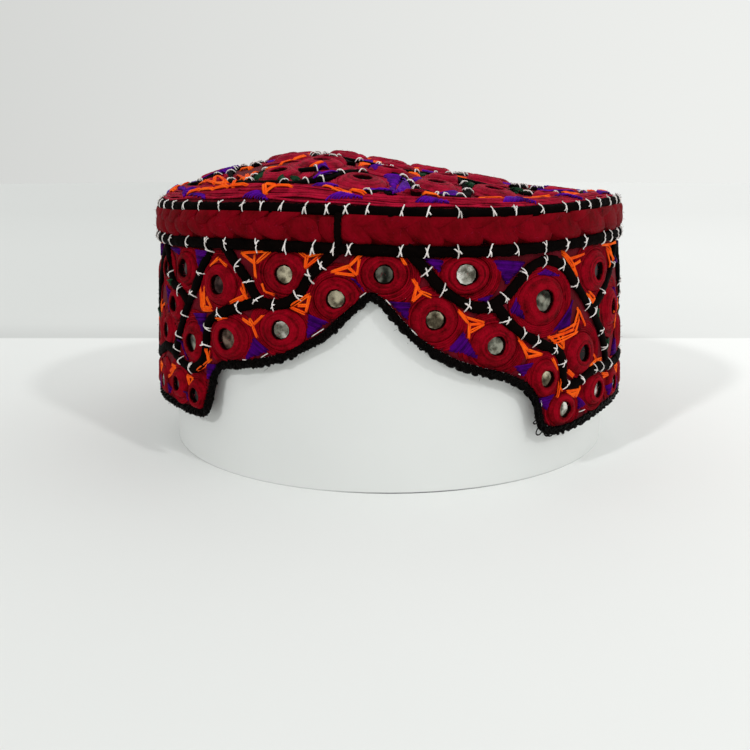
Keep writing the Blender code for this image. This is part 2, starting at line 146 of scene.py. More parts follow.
# White stitches across the two long cords, as turns, and across the front's other cords.
TOP_TICKS = (
    -58.5, -52.0, -46.2, -39.8, -33.1, -26.5, -21.8, -17.0, -11.8, -7.4, -3.6, 0.7, 7.5, 12.7,
    18.9, 26.1, 31.3, 38.2, 45.1, 49.6, 54.0, 58.9,
)
LOWER_TICKS = (
    -58.6, -53.1, -44.4, -36.9, -30.8, -22.6, -16.0, -10.1, -5.9, -3.0, 7.1, 12.3, 18.7, 25.4,
    31.5, 38.7, 45.1, 51.6, 60.5, 65.1,
)
FRONT_TICKS = (
    (-36.0, 14.9), (-27.8, 18.5), (-39.8, 22.3), (-25.1, 23.5), (-22.9, 29.2), (-18.9, 29.9),
    (-13.5, 26.7), (-10.6, 21.4), (-8.5, 16.5), (-41.5, 31.7), (-33.8, 34.2), (-28.2, 33.1),
    (-48.9, 27.9), (-46.2, 39.2), (-37.3, 41.0), (-38.9, 46.7), (-49.1, 47.1), (-52.2, 51.9),
    (-48.9, 55.3), (-43.8, 56.6), (-53.6, 24.0), (12.4, 18.3), (15.7, 24.9), (20.6, 29.5),
    (25.4, 32.4), (29.6, 35.4), (28.8, 27.8), (34.0, 21.4), (39.1, 17.1), (44.5, 19.6),
    (48.6, 27.0), (53.4, 34.2), (55.1, 39.2), (61.6, 31.7), (33.8, 39.9), (37.1, 43.9),
    (42.2, 47.4), (44.5, 53.1), (45.6, 61.4), (51.8, 61.0), (56.9, 58.1), (60.7, 58.1),
    (60.0, 45.6), (62.0, 51.7), (68.4, 22.2), (66.0, 59.0),
)

# Orange stitches on the front, each a run of points: turn in degrees, drop in millimetres.
FRONT_ORANGE = (
    ((-27.3, 14.9), (-19.7, 13.5), (-23.6, 17.6), (-27.3, 14.9)), ((-24.0, 15.6), (-23.5, 22.4)),
    ((-13.5, 13.5), (-11.7, 14.9), (-12.0, 18.1), (-9.1, 14.9)), ((-11.7, 14.9), (-8.2, 13.1)),
    ((-37.1, 19.9), (-33.8, 16.8), (-31.3, 19.2)),
    ((-40.4, 27.4), (-39.8, 35.3), (-36.0, 34.6)), ((-38.9, 26.4), (-38.7, 33.9), (-36.2, 34.2)),
    ((-39.6, 28.6), (-39.0, 35.0)), ((-38.2, 30.3), (-36.4, 34.0)),
    ((-26.9, 23.9), (-26.2, 28.1), (-30.9, 31.7)), ((-27.6, 25.6), (-25.4, 29.4), (-28.4, 30.2)),
    ((-22.0, 23.9), (-21.3, 26.4), (-18.9, 27.4)),
    ((-27.2, 36.0), (-24.4, 38.1), (-23.1, 42.1)), ((-25.1, 36.1), (-24.2, 37.8), (-21.7, 34.2)),
    ((-34.4, 37.4), (-31.1, 37.0)), ((-37.8, 48.5), (-37.1, 52.4), (-38.9, 54.9), (-41.3, 57.4)),
    ((-37.3, 48.9), (-37.5, 53.0)),
    ((-46.2, 60.3), (-43.5, 60.6), (-44.7, 63.9), (-46.2, 60.3)), ((-45.4, 60.6), (-44.6, 63.4)),
    ((-54.9, 58.9), (-52.2, 59.2), (-55.3, 63.1), (-57.5, 64.6)), ((-53.4, 59.4), (-56.3, 62.4)),
    ((-15.3, 30.9), (-12.0, 32.8), (-11.1, 26.3), (-15.3, 30.9)), ((-13.7, 30.3), (-11.7, 30.0)),
    ((-6.8, 19.2), (-3.1, 17.4), (-0.1, 12.8)), ((-3.1, 17.4), (-1.4, 20.1), (-0.9, 14.6)),
    ((-6.3, 19.5), (-1.7, 19.8)), ((7.3, 13.7), (8.2, 16.5)),
    ((9.6, 21.0), (11.0, 25.1), (13.3, 26.7)), ((11.6, 25.3), (9.6, 28.3), (10.5, 22.1)),
    ((18.9, 31.5), (21.2, 36.0), (21.2, 41.0)), ((18.9, 31.5), (20.5, 33.9), (24.6, 36.1)),
    ((21.4, 36.2), (24.4, 36.3)), ((24.6, 36.3), (21.2, 38.7)),
    ((44.9, 14.7), (48.2, 18.1), (50.2, 24.2)), ((46.9, 17.4), (53.4, 16.2)),
    ((48.2, 19.9), (51.4, 18.3)), ((45.1, 15.6), (48.4, 20.6), (49.4, 23.4)),
    ((53.8, 30.3), (55.8, 33.9), (57.6, 32.4), (54.9, 29.9)), ((54.6, 31.0), (56.6, 33.2)),
    ((32.5, 42.4), (34.9, 48.9), (39.1, 48.7), (34.9, 46.4), (32.5, 42.4)),
    ((40.5, 42.4), (45.4, 48.5), (45.1, 42.8)), ((41.1, 43.5), (49.6, 41.7)),
    ((42.2, 45.3), (51.1, 42.8)), ((50.5, 34.9), (53.6, 42.4)), ((50.7, 35.3), (48.7, 41.7)),
    ((51.1, 38.1), (49.1, 43.9)), ((44.2, 41.9), (50.5, 39.6)), ((43.4, 43.2), (45.0, 46.4)),
    ((41.8, 50.6), (43.4, 55.3)), ((44.1, 58.9), (42.9, 64.6)), ((44.0, 61.0), (44.9, 62.8)),
    ((46.2, 63.1), (49.6, 66.4), (51.4, 63.1)), ((46.2, 63.3), (51.4, 64.2)),
    ((47.6, 64.8), (51.1, 65.0)), ((46.5, 56.4), (48.7, 58.9)), ((46.9, 55.8), (49.1, 58.6)),
    ((57.1, 52.8), (58.5, 55.3), (61.6, 56.0)), ((58.5, 55.3), (55.1, 56.7)),
    ((61.6, 61.4), (66.0, 63.1), (62.0, 62.9)),
    ((61.6, 14.7), (66.6, 15.2), (71.2, 14.9)), ((64.7, 16.0), (69.2, 21.0)),
    ((64.7, 16.0), (66.5, 22.8)), ((66.8, 15.6), (68.0, 21.0)),
)

# Short white stitches beside the edging.
FRONT_DASHES = (
    ((-27.3, 50.2), (-26.0, 50.0)), ((-22.4, 48.6), (-20.7, 46.9)), ((-10.8, 40.2), (-8.2, 37.4)),
    ((38.4, 63.9), (38.9, 66.7)), ((51.1, 72.3), (53.8, 72.2)), ((32.7, 54.2), (33.1, 54.6)),
    ((-0.9, 27.0), (0.4, 25.4)), ((4.3, 27.6), (5.3, 29.3)), ((9.4, 37.3), (10.6, 39.2)),
)

# Patches filled with satin stitch, as corners: turn in degrees, drop in millimetres.
# The threads run from the first side, between corners one and two, to the third corner's side.
FRONT_PURPLE = (
    ((-42.7, 14.7), (-36.7, 14.9), (-40.9, 20.3)), ((-56.7, 15.3), (-49.1, 14.9), (-50.0, 17.4)),
    ((-43.5, 37.2), (-38.4, 36.4), (-38.9, 43.5)), ((-49.8, 47.9), (-48.0, 48.5), (-45.3, 54.6)),
    ((-24.4, 41.7), (-20.2, 46.0), (-26.2, 49.6)), ((-38.4, 53.9), (-34.9, 53.6), (-37.8, 59.2)),
    ((-46.9, 66.2), (-44.2, 66.0), (-45.5, 69.4)), ((-59.5, 30.0), (-55.8, 31.7), (-56.2, 39.6)),
    ((-58.0, 66.4), (-54.0, 68.1), (-56.2, 70.6)), ((-11.7, 32.8), (-7.4, 35.1), (-11.7, 40.5)),
    ((-2.7, 20.8), (-1.7, 21.4), (0.2, 25.2)), ((5.1, 28.3), (9.6, 28.7), (8.5, 33.9)),
    ((11.6, 14.2), (16.1, 15.2), (15.0, 19.2)), ((26.0, 15.4), (34.4, 17.0), (29.6, 23.8)),
    ((22.9, 28.3), (26.4, 27.0), (25.0, 29.2)), ((16.7, 44.2), (20.1, 38.3), (22.8, 47.2)),
    ((30.2, 33.1), (32.0, 28.3), (33.8, 35.8)), ((41.6, 41.7), (48.9, 31.4), (47.2, 40.3)),
    ((37.0, 21.6), (39.8, 19.7), (43.6, 22.6)), ((31.4, 51.4), (36.9, 51.0), (33.8, 55.0)),
    ((37.9, 63.9), (42.7, 63.3), (39.8, 68.3)), ((50.2, 66.2), (53.8, 70.8), (50.5, 71.0)),
    ((63.6, 67.0), (67.1, 66.5), (66.0, 71.2)), ((70.3, 31.0), (72.6, 31.7), (71.8, 40.3)),
)
FRONT_GREEN = (
    ((57.4, 36.4), (60.5, 37.1), (59.1, 39.8)), ((62.1, 48.9), (66.7, 49.2), (65.1, 53.4)),
    ((-57.1, 27.8), (-52.7, 26.7), (-53.6, 29.4)),
)

# One repeat of the back, measured from a peak of its zigzag cord. Turns in degrees, drops in mm.
BACK_PEAK = 15.0
BACK_VALLEY = 43.0
BACK_BOTTOM = 59.5
# The back's cords have white stitches between these turns only.
BACK_TICK_TURNS = (79.0, 284.0)
BACK_MEDIUM_RINGS = ((0.0, 31.5, 8.6, 7.6, 2.9), (8.2, 50.3, 8.2, 7.3, 2.8), (24.6, 50.3, 8.2, 7.3, 2.8))
BACK_ORANGE = (
    ((-3.0, 40.4), (3.0, 40.4), (0.0, 45.4), (-3.0, 40.4)), ((0.0, 41.0), (0.0, 47.6)),
    ((11.2, 39.2), (8.4, 42.2), (5.4, 38.2)), ((8.4, 42.2), (9.4, 37.6)),
    ((21.6, 39.2), (24.4, 42.2), (27.4, 38.2)), ((24.4, 42.2), (23.4, 37.6)),
    ((13.2, 15.4), (16.4, 18.6), (19.6, 15.4)), ((16.4, 14.8), (16.4, 21.0)),
    ((15.4, 45.4), (14.2, 51.0)), ((17.4, 45.4), (18.6, 51.0)),
)
BACK_PURPLE = (
    ((-3.6, 22.0), (3.6, 22.0), (0.0, 19.0)), ((7.4, 15.2), (12.4, 16.0), (9.6, 20.4)),
    ((20.4, 16.0), (25.4, 15.2), (23.2, 20.4)), ((12.6, 56.4), (14.8, 51.6), (15.2, 57.4)),
    ((18.0, 51.6), (20.2, 56.4), (17.6, 57.4)), ((-2.8, 56.8), (2.8, 56.8), (0.0, 50.8)),
)
BACK_GREEN = (((12.0, 44.0), (14.4, 41.0), (14.6, 46.6)), ((18.4, 41.0), (20.8, 44.0), (18.2, 46.6)))
HEM_RINGS = 21
HEM_RING_FIRST = 68.6
HEM_RING_LAST = 299.4
HEM_RING = (66.8, 6.8, 5.5, 2.4)

# Crown's front, in millimetres: x to the right, y to the back, from its middle.
# Columns of the rings: x, y, half width, half height, mirror radius.
CROWN_FRONT_RINGS = (
    (-3.0, -69.0, 8.4, 9.4, 2.9), (21.0, -57.0, 7.2, 9.6, 2.7), (41.0, -52.5, 8.0, 10.0, 3.1),
    (15.4, -79.4, 4.8, 3.6, 2.2), (-32.0, -63.5, 7.6, 8.0, 2.6), (-56.5, -50.5, 7.4, 7.0, 2.4),
    (-20.0, -48.0, 8.4, 8.2, 2.7), (60.0, -45.5, 5.6, 5.4, 2.2),
)
CROWN_FRONT_CORDS = (
    ((-58.0, -26.0), (-56.0, -40.0), (-51.0, -57.0), (-46.0, -66.0), (-42.0, -69.5), (-38.0, -72.0),
     (-31.0, -74.5), (-24.0, -76.5), (-21.0, -73.0), (-16.0, -71.0), (-13.0, -66.0), (-10.5, -60.0),
     (-7.0, -55.5), (-3.0, -56.0)),
    ((-4.0, -40.0), (1.0, -39.0), (5.0, -45.0), (9.0, -51.0), (12.0, -60.0), (15.0, -67.5),
     (19.0, -70.5), (23.0, -74.0), (28.0, -75.0), (31.0, -70.0), (32.0, -60.0), (31.0, -45.0),
     (28.0, -30.0)),
    ((0.0, -84.0), (3.0, -81.5), (6.0, -81.5), (8.5, -84.0)),
    ((-42.0, -67.0), (-41.0, -61.0), (-38.0, -55.0)),
    ((-26.0, -60.0), (-22.0, -58.5), (-18.5, -57.5)), ((-18.0, -38.0), (-14.0, -36.0), (-10.0, -41.0)),
    ((28.0, -30.0), (44.0, -40.0), (52.0, -45.0), (56.0, -40.0), (66.0, -32.0), (75.0, -20.0)),
)
CROWN_FRONT_TICKS = (
    (-41.5, -61.0), (-43.0, -67.0), (-38.0, -55.5), (-28.0, -76.0), (-22.0, -73.5), (-16.0, -71.0),
    (-20.5, -58.0), (-11.0, -62.0), (-5.0, -55.5), (0.5, -83.0), (8.5, -52.0), (12.0, -60.0),
    (15.0, -67.0), (22.0, -74.0), (24.5, -75.0), (31.0, -60.0), (30.0, -73.0), (54.0, -44.0),
    (-17.0, -37.5), (1.0, -39.5), (-50.0, -59.0), (-57.0, -32.0), (31.0, -45.0), (64.0, -34.0),
)
CROWN_FRONT_ORANGE = (
    ((-36.0, -42.0), (-33.0, -34.0), (-29.0, -27.0)), ((-50.0, -50.0), (-44.0, -62.0), (-43.0, -50.0)),
    ((-47.0, -58.0), (-43.0, -58.5)), ((-44.0, -61.0), (-46.5, -51.0)), ((-37.5, -57.0), (-32.5, -58.0)),
    ((-56.0, -59.0), (-59.0, -45.0), (-50.0, -65.0), (-56.0, -59.0)), ((-65.0, -48.0), (-60.5, -52.5)),
    ((-61.0, -52.0), (-55.0, -61.0), (-49.5, -68.0)), ((-66.0, -57.5), (-60.0, -61.5), (-54.0, -67.0)),
    ((-54.0, -67.0), (-48.0, -70.0), (-41.0, -73.5)), ((-46.5, -66.5), (-46.0, -71.5)),
    ((-34.0, -77.0), (-30.0, -79.0), (-33.0, -81.5), (-34.0, -77.0)), ((-30.0, -79.0), (-24.5, -81.0)),
    ((-14.0, -81.5), (-10.5, -83.5), (-7.5, -85.0), (-4.5, -86.0)), ((-5.0, -84.0), (-0.5, -85.3)),
    ((-23.0, -56.0), (-18.5, -52.5)), ((18.0, -80.5), (22.5, -79.0)),
    ((35.5, -69.5), (41.0, -66.0), (45.0, -66.5)), ((50.5, -58.5), (56.0, -53.0), (61.5, -50.0)),
    ((54.0, -51.0), (59.5, -56.0)), ((62.5, -38.5), (69.0, -42.5)),
    ((37.0, -68.0), (44.0, -68.5)), ((51.0, -57.0), (60.0, -53.5)),
)
CROWN_FRONT_PURPLE = (
    ((-66.0, -59.0), (-57.0, -67.0), (-56.0, -70.0)), ((-75.0, -41.0), (-70.0, -47.0), (-67.0, -56.0)),
    ((-41.5, -79.0), (-35.0, -79.5), (-31.5, -84.0)), ((-19.0, -73.0), (-12.0, -63.5), (-18.5, -63.0)),
    ((-18.0, -81.5), (-10.5, -76.0), (-9.5, -80.5)), ((-20.0, -60.0), (-16.0, -57.0), (-18.0, -53.0)),
    ((2.5, -52.0), (8.5, -53.0), (8.0, -75.0)), ((9.5, -55.0), (13.5, -71.0), (8.5, -76.0)),
    ((6.0, -70.0), (9.5, -77.0), (8.5, -85.0)), ((-2.5, -80.5), (6.0, -73.0), (8.5, -81.0)),
    ((-4.0, -43.0), (1.0, -42.5), (-1.0, -47.5)), ((-12.5, -88.2), (-7.0, -85.0), (-0.5, -87.6)),
    ((12.0, -49.0), (16.0, -43.0), (14.0, -56.0)), ((22.0, -71.0), (29.0, -60.5), (29.5, -71.0)),
    ((15.5, -86.5), (19.0, -82.0), (26.5, -83.8)), ((43.5, -75.0), (45.5, -65.5), (50.0, -70.5)),
    ((47.0, -67.0), (50.0, -70.5), (54.5, -70.0)), ((61.0, -50.5), (66.0, -50.0), (71.5, -54.0)),
    ((-69.5, -52.5), (-63.0, -56.0), (-67.0, -58.5)),
)
CROWN_FRONT_GREEN = (
    ((-41.0, -66.0), (-36.5, -59.0), (-37.0, -67.5)), ((-30.5, -74.0), (-29.5, -67.5), (-27.0, -75.0)),
    ((-28.0, -68.5), (-23.5, -69.5), (-24.0, -76.0)), ((12.5, -34.0), (17.0, -29.0), (15.0, -38.5)),
    ((31.0, -49.0), (35.0, -42.0), (33.5, -53.0)), ((47.0, -40.0), (53.0, -43.0), (49.0, -47.0)),
)

# Rest of the crown: distances from its middle in millimetres, turns in degrees.
FRONT_SECTOR = (-64.0, 58.0)
CROWN_FIRST_TURN = -3.0
# Columns: how many rings; turn of the first; whether the front's chart takes their place there;
# distance from the middle, half width, half height and mirror radius in millimetres.
CROWN_RING_ROWS = (
    (18, CROWN_FIRST_TURN, True, 70.0, 8.4, 7.8, 3.0),
    (12, 5.0, False, 42.5, 8.0, 7.4, 2.8),
    (6, 15.0, False, 19.5, 7.2, 6.8, 2.6),
    (1, 0.0, False, 0.0, 8.2, 8.2, 3.4),
)
CROWN_ZIGZAG = (58.8, 79.2)
CROWN_ARC = 54.4
CROWN_CIRCLE = 30.6
BORDER_FROM = 81.6
BORDER_TO = 89.4
BORDER_STEP = 0.62
BORDER_REPEATS = 19
CROWN_TICK_STEP = 8.5 * MM

# The crown's cloth lies lower than its solid where it carries raised threads.
CROWN_SINK = 1.8 * MM
SINK_FROM = 84.0 * MM
SINK_WIDTH = 8.0 * MM

# Rows of the wall's cloth, degrees between the columns of the crown's cloth, its rows inside the
# rim, and degrees between the places of its border's threads.
CLOTH_ROWS = 14
CROWN_STEP = 2.5
CROWN_ROWS = 34
BORDER_TURN = 3.0

# Threads and cords.
RING_THREAD = 0.62 * MM
RING_CREST = 2.45 * MM
SMALL_RING_CREST = 2.2 * MM
# Height of the rings round the wall as a share of their full height. Columns: turn, share.
SIDE_CREST = (
    (-92.0, 1.0), (-80.0, 0.65), (-60.0, 0.65), (-50.0, 1.0), (62.0, 1.0), (72.0, 0.7), (86.0, 0.7),
    (98.0, 1.0),
)
# Rings past this turn are in the piece for the back. Places round a ring of each of the three pieces.
FRONT_END = 72.0
FRONT_SIDES = 42
BACK_SIDES = 28
CROWN_SIDES = 30
GROUND_SIDES = 44
GROUND_LOOPS = 6
# How near another ring's centre has to be for it to stand in the way of a ring, or of its ground.
RING_NEAR = 30.0 * MM
GROUND_NEAR = 40.0 * MM
RING_LIP = 0.5 * MM
LIP_SHARE = 1.03
# Rows of points over one thread of a ring, and how far from a cord's middle the rings and the ground
# threads stop, as a share of the cord's width.
THREAD_ROWS = 4
RING_CLEARANCE = 0.42
GROUND_CLEARANCE = 0.4
# Tone of the threads deep in a mirror's recess: painted shade.
RECESS_SHADE_TONE = -1.3
GROUND_THREAD = 0.7 * MM
CORD_WIDTH = 3.5 * MM
CORD_HEIGHT = 1.7 * MM
CROWN_CORD_WIDTH = 3.0 * MM
CROWN_CORD_HEIGHT = 1.4 * MM
# Places along the two long cords, their twists in one whole turn, and places along the seam.
CORD_PLACES = 560
CORD_TWISTS = 44.0
SEAM_PLACES = 14
TICK_THREAD = 0.50 * MM
DASH_THREAD = 0.34 * MM
ORANGE_THREAD = 0.9 * MM
SATIN_THREAD = 0.62 * MM
TICK_STEP = 6.4 * MM
STITCH_POINTS = 6

# White stitches over a cord, each a few strokes. A point is (along in millimetres, across), where
# across goes from -1 at the cord's lower side to 1 at its upper side.
TICK_STROKES = (
    (((-0.5, -1.4), (0.7, 1.2)), ((0.1, 0.0), (-1.0, 1.0))),
    (((-0.3, -1.3), (0.4, 1.3)), ((-1.1, -0.6), (0.2, 0.3))),
    (((0.6, -1.4), (0.1, 0.1)), ((0.1, 0.1), (1.1, 1.3)), ((0.1, 0.1), (-0.8, 0.8))),
    (((-1.0, -1.1), (1.2, 1.3)), ((0.8, -0.9), (-0.5, 0.7))),
    (((0.0, -1.4), (0.2, 1.3)), ((0.1, 0.1), (1.3, 0.5)), ((-0.9, -0.1), (0.1, 0.1))),
    (((-1.0, -1.2), (-0.1, 0.1)), ((-0.1, 0.1), (0.9, 1.4)), ((0.4, -1.0), (-0.1, 0.1))),
    (((-0.9, -1.3), (0.9, 1.4)), ((0.0, 0.0), (0.9, -0.5))),
    (((-0.2, -1.4), (0.1, 1.3)), ((0.0, 0.1), (-0.9, 0.9)), ((0.1, 0.1), (1.0, 0.9))),
)

# Loose fibres: how many between two turns of the wall, on the crown, on the band and each long cord,
# and on the edging.
FIBRE_RADIUS = 0.045 * MM
WALL_FIBRES = ((2000, -90.0, 90.0), (500, 90.0, 270.0))
CROWN_FIBRES = 1100
BAND_FIBRES = 700
EDGING_FIBRES = 900

EDGING_STEP = 0.6 * MM
CROCHET_PITCH = 3.1 * MM
# Loose loops that hang from the edging. Columns: turn; drop, half width, length and lean in millimetres.
EDGING_LOOPS = (
    (38.9, 74.6, 1.0, 2.3, -0.9), (40.6, 76.2, 0.8, 1.9, 0.7), (41.9, 76.8, 1.1, 1.5, -0.3),
    (38.0, 71.6, 0.6, 1.1, -1.0), (-39.6, 71.2, 0.7, 1.5, 0.6), (-21.0, 50.2, 0.8, 1.2, 0.3),
    (11.6, 43.0, 0.7, 1.0, -0.4), (1.2, 27.2, 0.5, 1.1, 0.5),
)

# Painted contact shadow: a dark line along the stand's foot. Columns: place from -100 mm to 100 mm along X
# as 0 to 1, strength.
FOOT_CONTACT_SHADOW = (
    (0.05, 0.35), (0.25, 0.2), (0.42, 0.3), (0.53, 0.95), (0.63, 0.95), (0.72, 0.6), (0.82, 0.3),
    (0.92, 0.05),
)

# Painted shade of a fold in the paper behind the stand: a faint dark band, most at the left.
# Direction away from the camera, and columns: distance along it in metres, strength.
FOLD_DIRECTION = (-0.087, 0.996, 0.0)
FOLD_SHADE = ((0.180, 0.0), (0.184, 0.9), (0.200, 0.6), (0.230, 0.1), (0.260, 0.0))
FOLD_PLACE = (0.1800, 0.1830)
# The fold's shade at the left and the right, and the places along X where it has them.
FOLD_SIDES = (-0.18, 0.22, 0.2, 0.0)
# Painted shade far off: the paper is a little darker there. Distances where that starts and ends, and how
# much.
FAR_SHADE = (0.75, 1.5, 0.0, 0.055)
SHADE_COLOR = (0.2, 0.2, 0.2, 1.0)

# Tones of the paper before the fold and beyond it, with painted light: how much they rise per metre along
# X, Y and Z as a share of their range, and their lowest and highest colours.
FLOOR_TONES_AND_LIGHT = (
    ((1.8, 0.8, 0.0), (0.742, 0.757, 0.742), (0.945, 0.955, 0.94)),
    ((1.8, 0.0, 0.0), (0.665, 0.68, 0.665), (0.835, 0.845, 0.83)),
)

# Camera and light. The photograph is square, and the camera looks a little down from the front.
CAMERA_TURN = 5.0
CAMERA_DISTANCE = 375.85 * MM
CAMERA_RISE = 16.295 * MM
CAMERA_PITCH = 0.237
SENSOR = 36.0
LENS = 43.2
SHIFT_X = -14.28 / 750.0
WORLD_LEVEL = (0.775, 0.785, 0.765)
WORLD_ABOVE = (1.05, 1.06, 1.05)
WORLD_BRIGHTER_TOWARD = (0.31, 0.24, 0.0)
WORLD_MIDDLE = 0.795
# Columns: name, direction that it shines in, strength, softness in degrees.
LAMPS = (
    ("left_lamp", (0.62, 0.9, -0.68), 0.88, 4.0),
    ("right_lamp", (-1.0, 0.85, -0.93), 0.64, 4.0),
)

rng = np.random.default_rng(7)


# Surfaces


def seam_rise(turn, drop):
    """How far the wavy seam lifts a place near the crown's rim."""
    fade = np.clip((WAVE_END_DROP - drop) / WAVE_FADE, 0.0, 1.0)
    return fade * SEAM_WAVE * np.cos(SEAM_WAVES * np.radians(turn - SEAM_WAVE_TURN))


def wall_radius(turn, drop):
    below = np.maximum(drop - FLARE_START, 0.0)
    swell = WALL_SWELL * np.sin(WALL_SWELLS * np.radians(turn) + 1.0)
    return WALL_RADIUS + WALL_FLARE * below + swell * below / SEAM_HEIGHT


def place(turn, drop, radius):
    """Points at turns, drops and distances from the cap's axis."""
    angle = np.radians(turn)
    height = SEAM_HEIGHT - drop + seam_rise(turn, drop)
    return np.stack(np.broadcast_arrays(radius * np.sin(angle), -radius * np.cos(angle), height), -1)


def unit(vectors):
    return vectors / np.maximum(np.linalg.norm(vectors, axis=-1, keepdims=True), 1e-12)


def wall_point(flat, lift=0.0):
    turn = flat[..., 0] / DEGREE_ARC
    drop = flat[..., 1]
    base = place(turn, drop, wall_radius(turn, drop))
    return base + wall_normal(flat) * np.asarray(lift)[..., None]


def spoke(turn, tilt=0.0):
    """Directions away from the cap's axis at turns in degrees, leaning up by an angle."""
    angle = np.radians(turn)
    level = np.cos(tilt)
    return np.stack(np.broadcast_arrays(np.sin(angle) * level, -np.cos(angle) * level, np.sin(tilt)), -1)


def wall_normal(flat):
    tilt = np.where(flat[..., 1] > FLARE_START, math.atan(WALL_FLARE), 0.0)
    return spoke(flat[..., 0] / DEGREE_ARC, tilt)


def left_of(along):
    """Flat directions at a right angle to the given ones."""
    return np.stack([-along[..., 1], along[..., 0]], -1)


def half_turned(turn):
    """The same turn as one from -180 to 180 degrees."""
    return (turn + 180.0) % 360.0 - 180.0


def soft_profile():
    """The crown's ridge line with its corners rounded off."""
    x = np.arange(-90.0, 90.5, 0.5)
    rise = np.interp(x, *np.array(CROWN_PROFILE).T)
    window = 17
    padded = np.pad(rise, window // 2, mode="edge")
    soft = np.convolve(padded, np.ones(window) / window, mode="valid")
    blend = np.clip((80.0 - np.abs(x)) / 10.0, 0.0, 1.0)
    return x * MM, (rise + (soft - rise) * blend) * MM


PROFILE_X, PROFILE_RISE = soft_profile()


def crown_height(x, y):
    ridge = np.interp(x, PROFILE_X, PROFILE_RISE)
    chord = np.maximum(CROWN_RADIUS ** 2 - x * x, 1e-9)
    fall = np.maximum(1.0 - y * y / chord, 0.0) ** CROWN_PUFF
    turn = np.degrees(np.arctan2(x, -y))
    reach = np.hypot(x, y)
    edge = seam_rise(turn, 0.0) * reach / CROWN_RADIUS
    sink = CROWN_SINK * np.clip((SINK_FROM - reach) / SINK_WIDTH, 0.0, 1.0)
    return SEAM_HEIGHT + CROWN_RIM_TOP + edge + ridge * fall - sink


def crown_normal(flat):
    reach = np.hypot(flat[..., 0], flat[..., 1])
    inward = np.minimum(1.0, 0.97 * CROWN_RADIUS / np.maximum(reach, 1e-9))
    x = flat[..., 0] * inward
    y = flat[..., 1] * inward
    step = 1.0 * MM
    slope_x = (crown_height(x + step, y) - crown_height(x - step, y)) / (2.0 * step)
    slope_y = (crown_height(x, y + step) - crown_height(x, y - step)) / (2.0 * step)
    return unit(np.stack([-slope_x, -slope_y, np.ones_like(x)], -1))


def crown_point(flat, lift=0.0):
    base = np.stack([flat[..., 0], flat[..., 1], crown_height(flat[..., 0], flat[..., 1])], -1)
    return base + crown_normal(flat) * np.asarray(lift)[..., None]


def on_wall(places):
    """Flat places from columns of turn in degrees and drop in millimetres."""
    return np.array(places, float) * (DEGREE_ARC, MM)


def on_crown(turn, reach):
    """Flat places on the crown from turns in degrees and distances from its middle in millimetres."""
    angle = np.radians(np.asarray(turn, float))
    return np.stack([reach * np.sin(angle), -reach * np.cos(angle)], -1) * MM


def side_share(turn):
    """How high rings stand: lower at the two sides that the front view sees in profile."""
    return np.interp(half_turned(turn), *np.array(SIDE_CREST).T)


class Ring:
    """A raised ring of thread round a mirror, at a flat place, with its half sizes along its own axes."""

    def __init__(self, center, half, mirror, turned=0.0, crest=RING_CREST, has_solid=False):
        self.center = np.array(center, float)
        self.half = np.array(half, float) * MM
        self.mirror = mirror * MM
        self.axis = np.array([math.cos(math.radians(turned)), math.sin(math.radians(turned))])
        self.cross = left_of(self.axis)
        self.crest = crest
        self.has_solid = has_solid

    def share(self, flat):
        """Distance from the centre as a share of the outline, 1 on it."""
        offset = flat - self.center
        along = offset @ self.axis
        across = offset @ self.cross
        return np.hypot(along / self.half[0], across / self.half[1])

    def spokes(self, angles, flip):
        """Directions on the flat surface, and how far the ellipse reaches along each."""
        lengths = 1.0 / np.hypot(np.cos(angles) / self.half[0], np.sin(angles) / self.half[1])
        direction = np.cos(angles)[:, None] * self.axis + flip * np.sin(angles)[:, None] * self.cross
        return direction, lengths


class Surface:
    """A side of the cap: how its flat places lie in space, and what is raised on it."""

    def __init__(self, point, normal, flip, blocked, base):
        self.base = base
        self.point = point
        self.normal = normal
        self.flip = flip
        self.blocked = blocked
        self.rings = []
        self.cords = None

    def cord_distance(self, flat):
        return distances(self.cords, flat)

    def relief(self, flat):
        """Height of the threads and cords that lie on the cloth."""
        height = self.base(flat)
        for ring in self.rings:
            height = np.maximum(height, ring.crest * ring_profile(ring.share(flat)))
        share = np.clip(self.cord_distance(flat) / (CORD_WIDTH / 2.0), 0.0, 1.0)
        return np.maximum(height, CORD_HEIGHT * np.sqrt(1.0 - share ** 2))


def ring_profile(share):
    return np.clip(1.0 - np.clip(share, 0.0, 1.0) ** 2.2, 0.0, 1.0) ** 0.7


def point_tree(points):
    """Flat points, ready for finding the nearest one."""
    tree = KDTree(len(points))
    for index, (along, across) in enumerate(points):
        tree.insert((along, across, 0.0), index)
    tree.balance()
    return tree


def distances(tree, flat):
    """How far each flat place is from the nearest point of a tree."""
    places = flat.reshape(-1, 2)
    found = [tree.find((along, across, 0.0))[2] for along, across in places]
    return np.array(found).reshape(flat.shape[:-1])


# Lines


def smooth_line(points):
    """Places about a millimetre apart on a smooth curve through the given ones."""
    padded = np.vstack([2 * points[0] - points[1], points, 2 * points[-1] - points[-2]])
    line = []
    for before, start, end, after in zip(padded, padded[1:], padded[2:], padded[3:]):
        parts = max(1, round(np.linalg.norm(end - start) / LINE_STEP))
        t = (np.arange(parts) / parts)[:, None]
        line.append(
            before * (-0.5 * t + t * t - 0.5 * t ** 3)
            + start * (1.0 - 2.5 * t * t + 1.5 * t ** 3)
            + end * (0.5 * t + 2.0 * t * t - 1.5 * t ** 3)
            + after * (-0.5 * t * t + 0.5 * t ** 3)
        )
    return np.vstack([*line, points[-1:]])


def spaced(line, step):
    """The same line with its points an even step apart."""
    lengths = np.linalg.norm(np.diff(line, axis=0), axis=1)
    along = np.concatenate([[0.0], np.cumsum(lengths)])
    count = max(2, round(along[-1] / step) + 1)
    places = np.linspace(0.0, along[-1], count)
    return np.stack([np.interp(places, along, column) for column in line.T], -1)


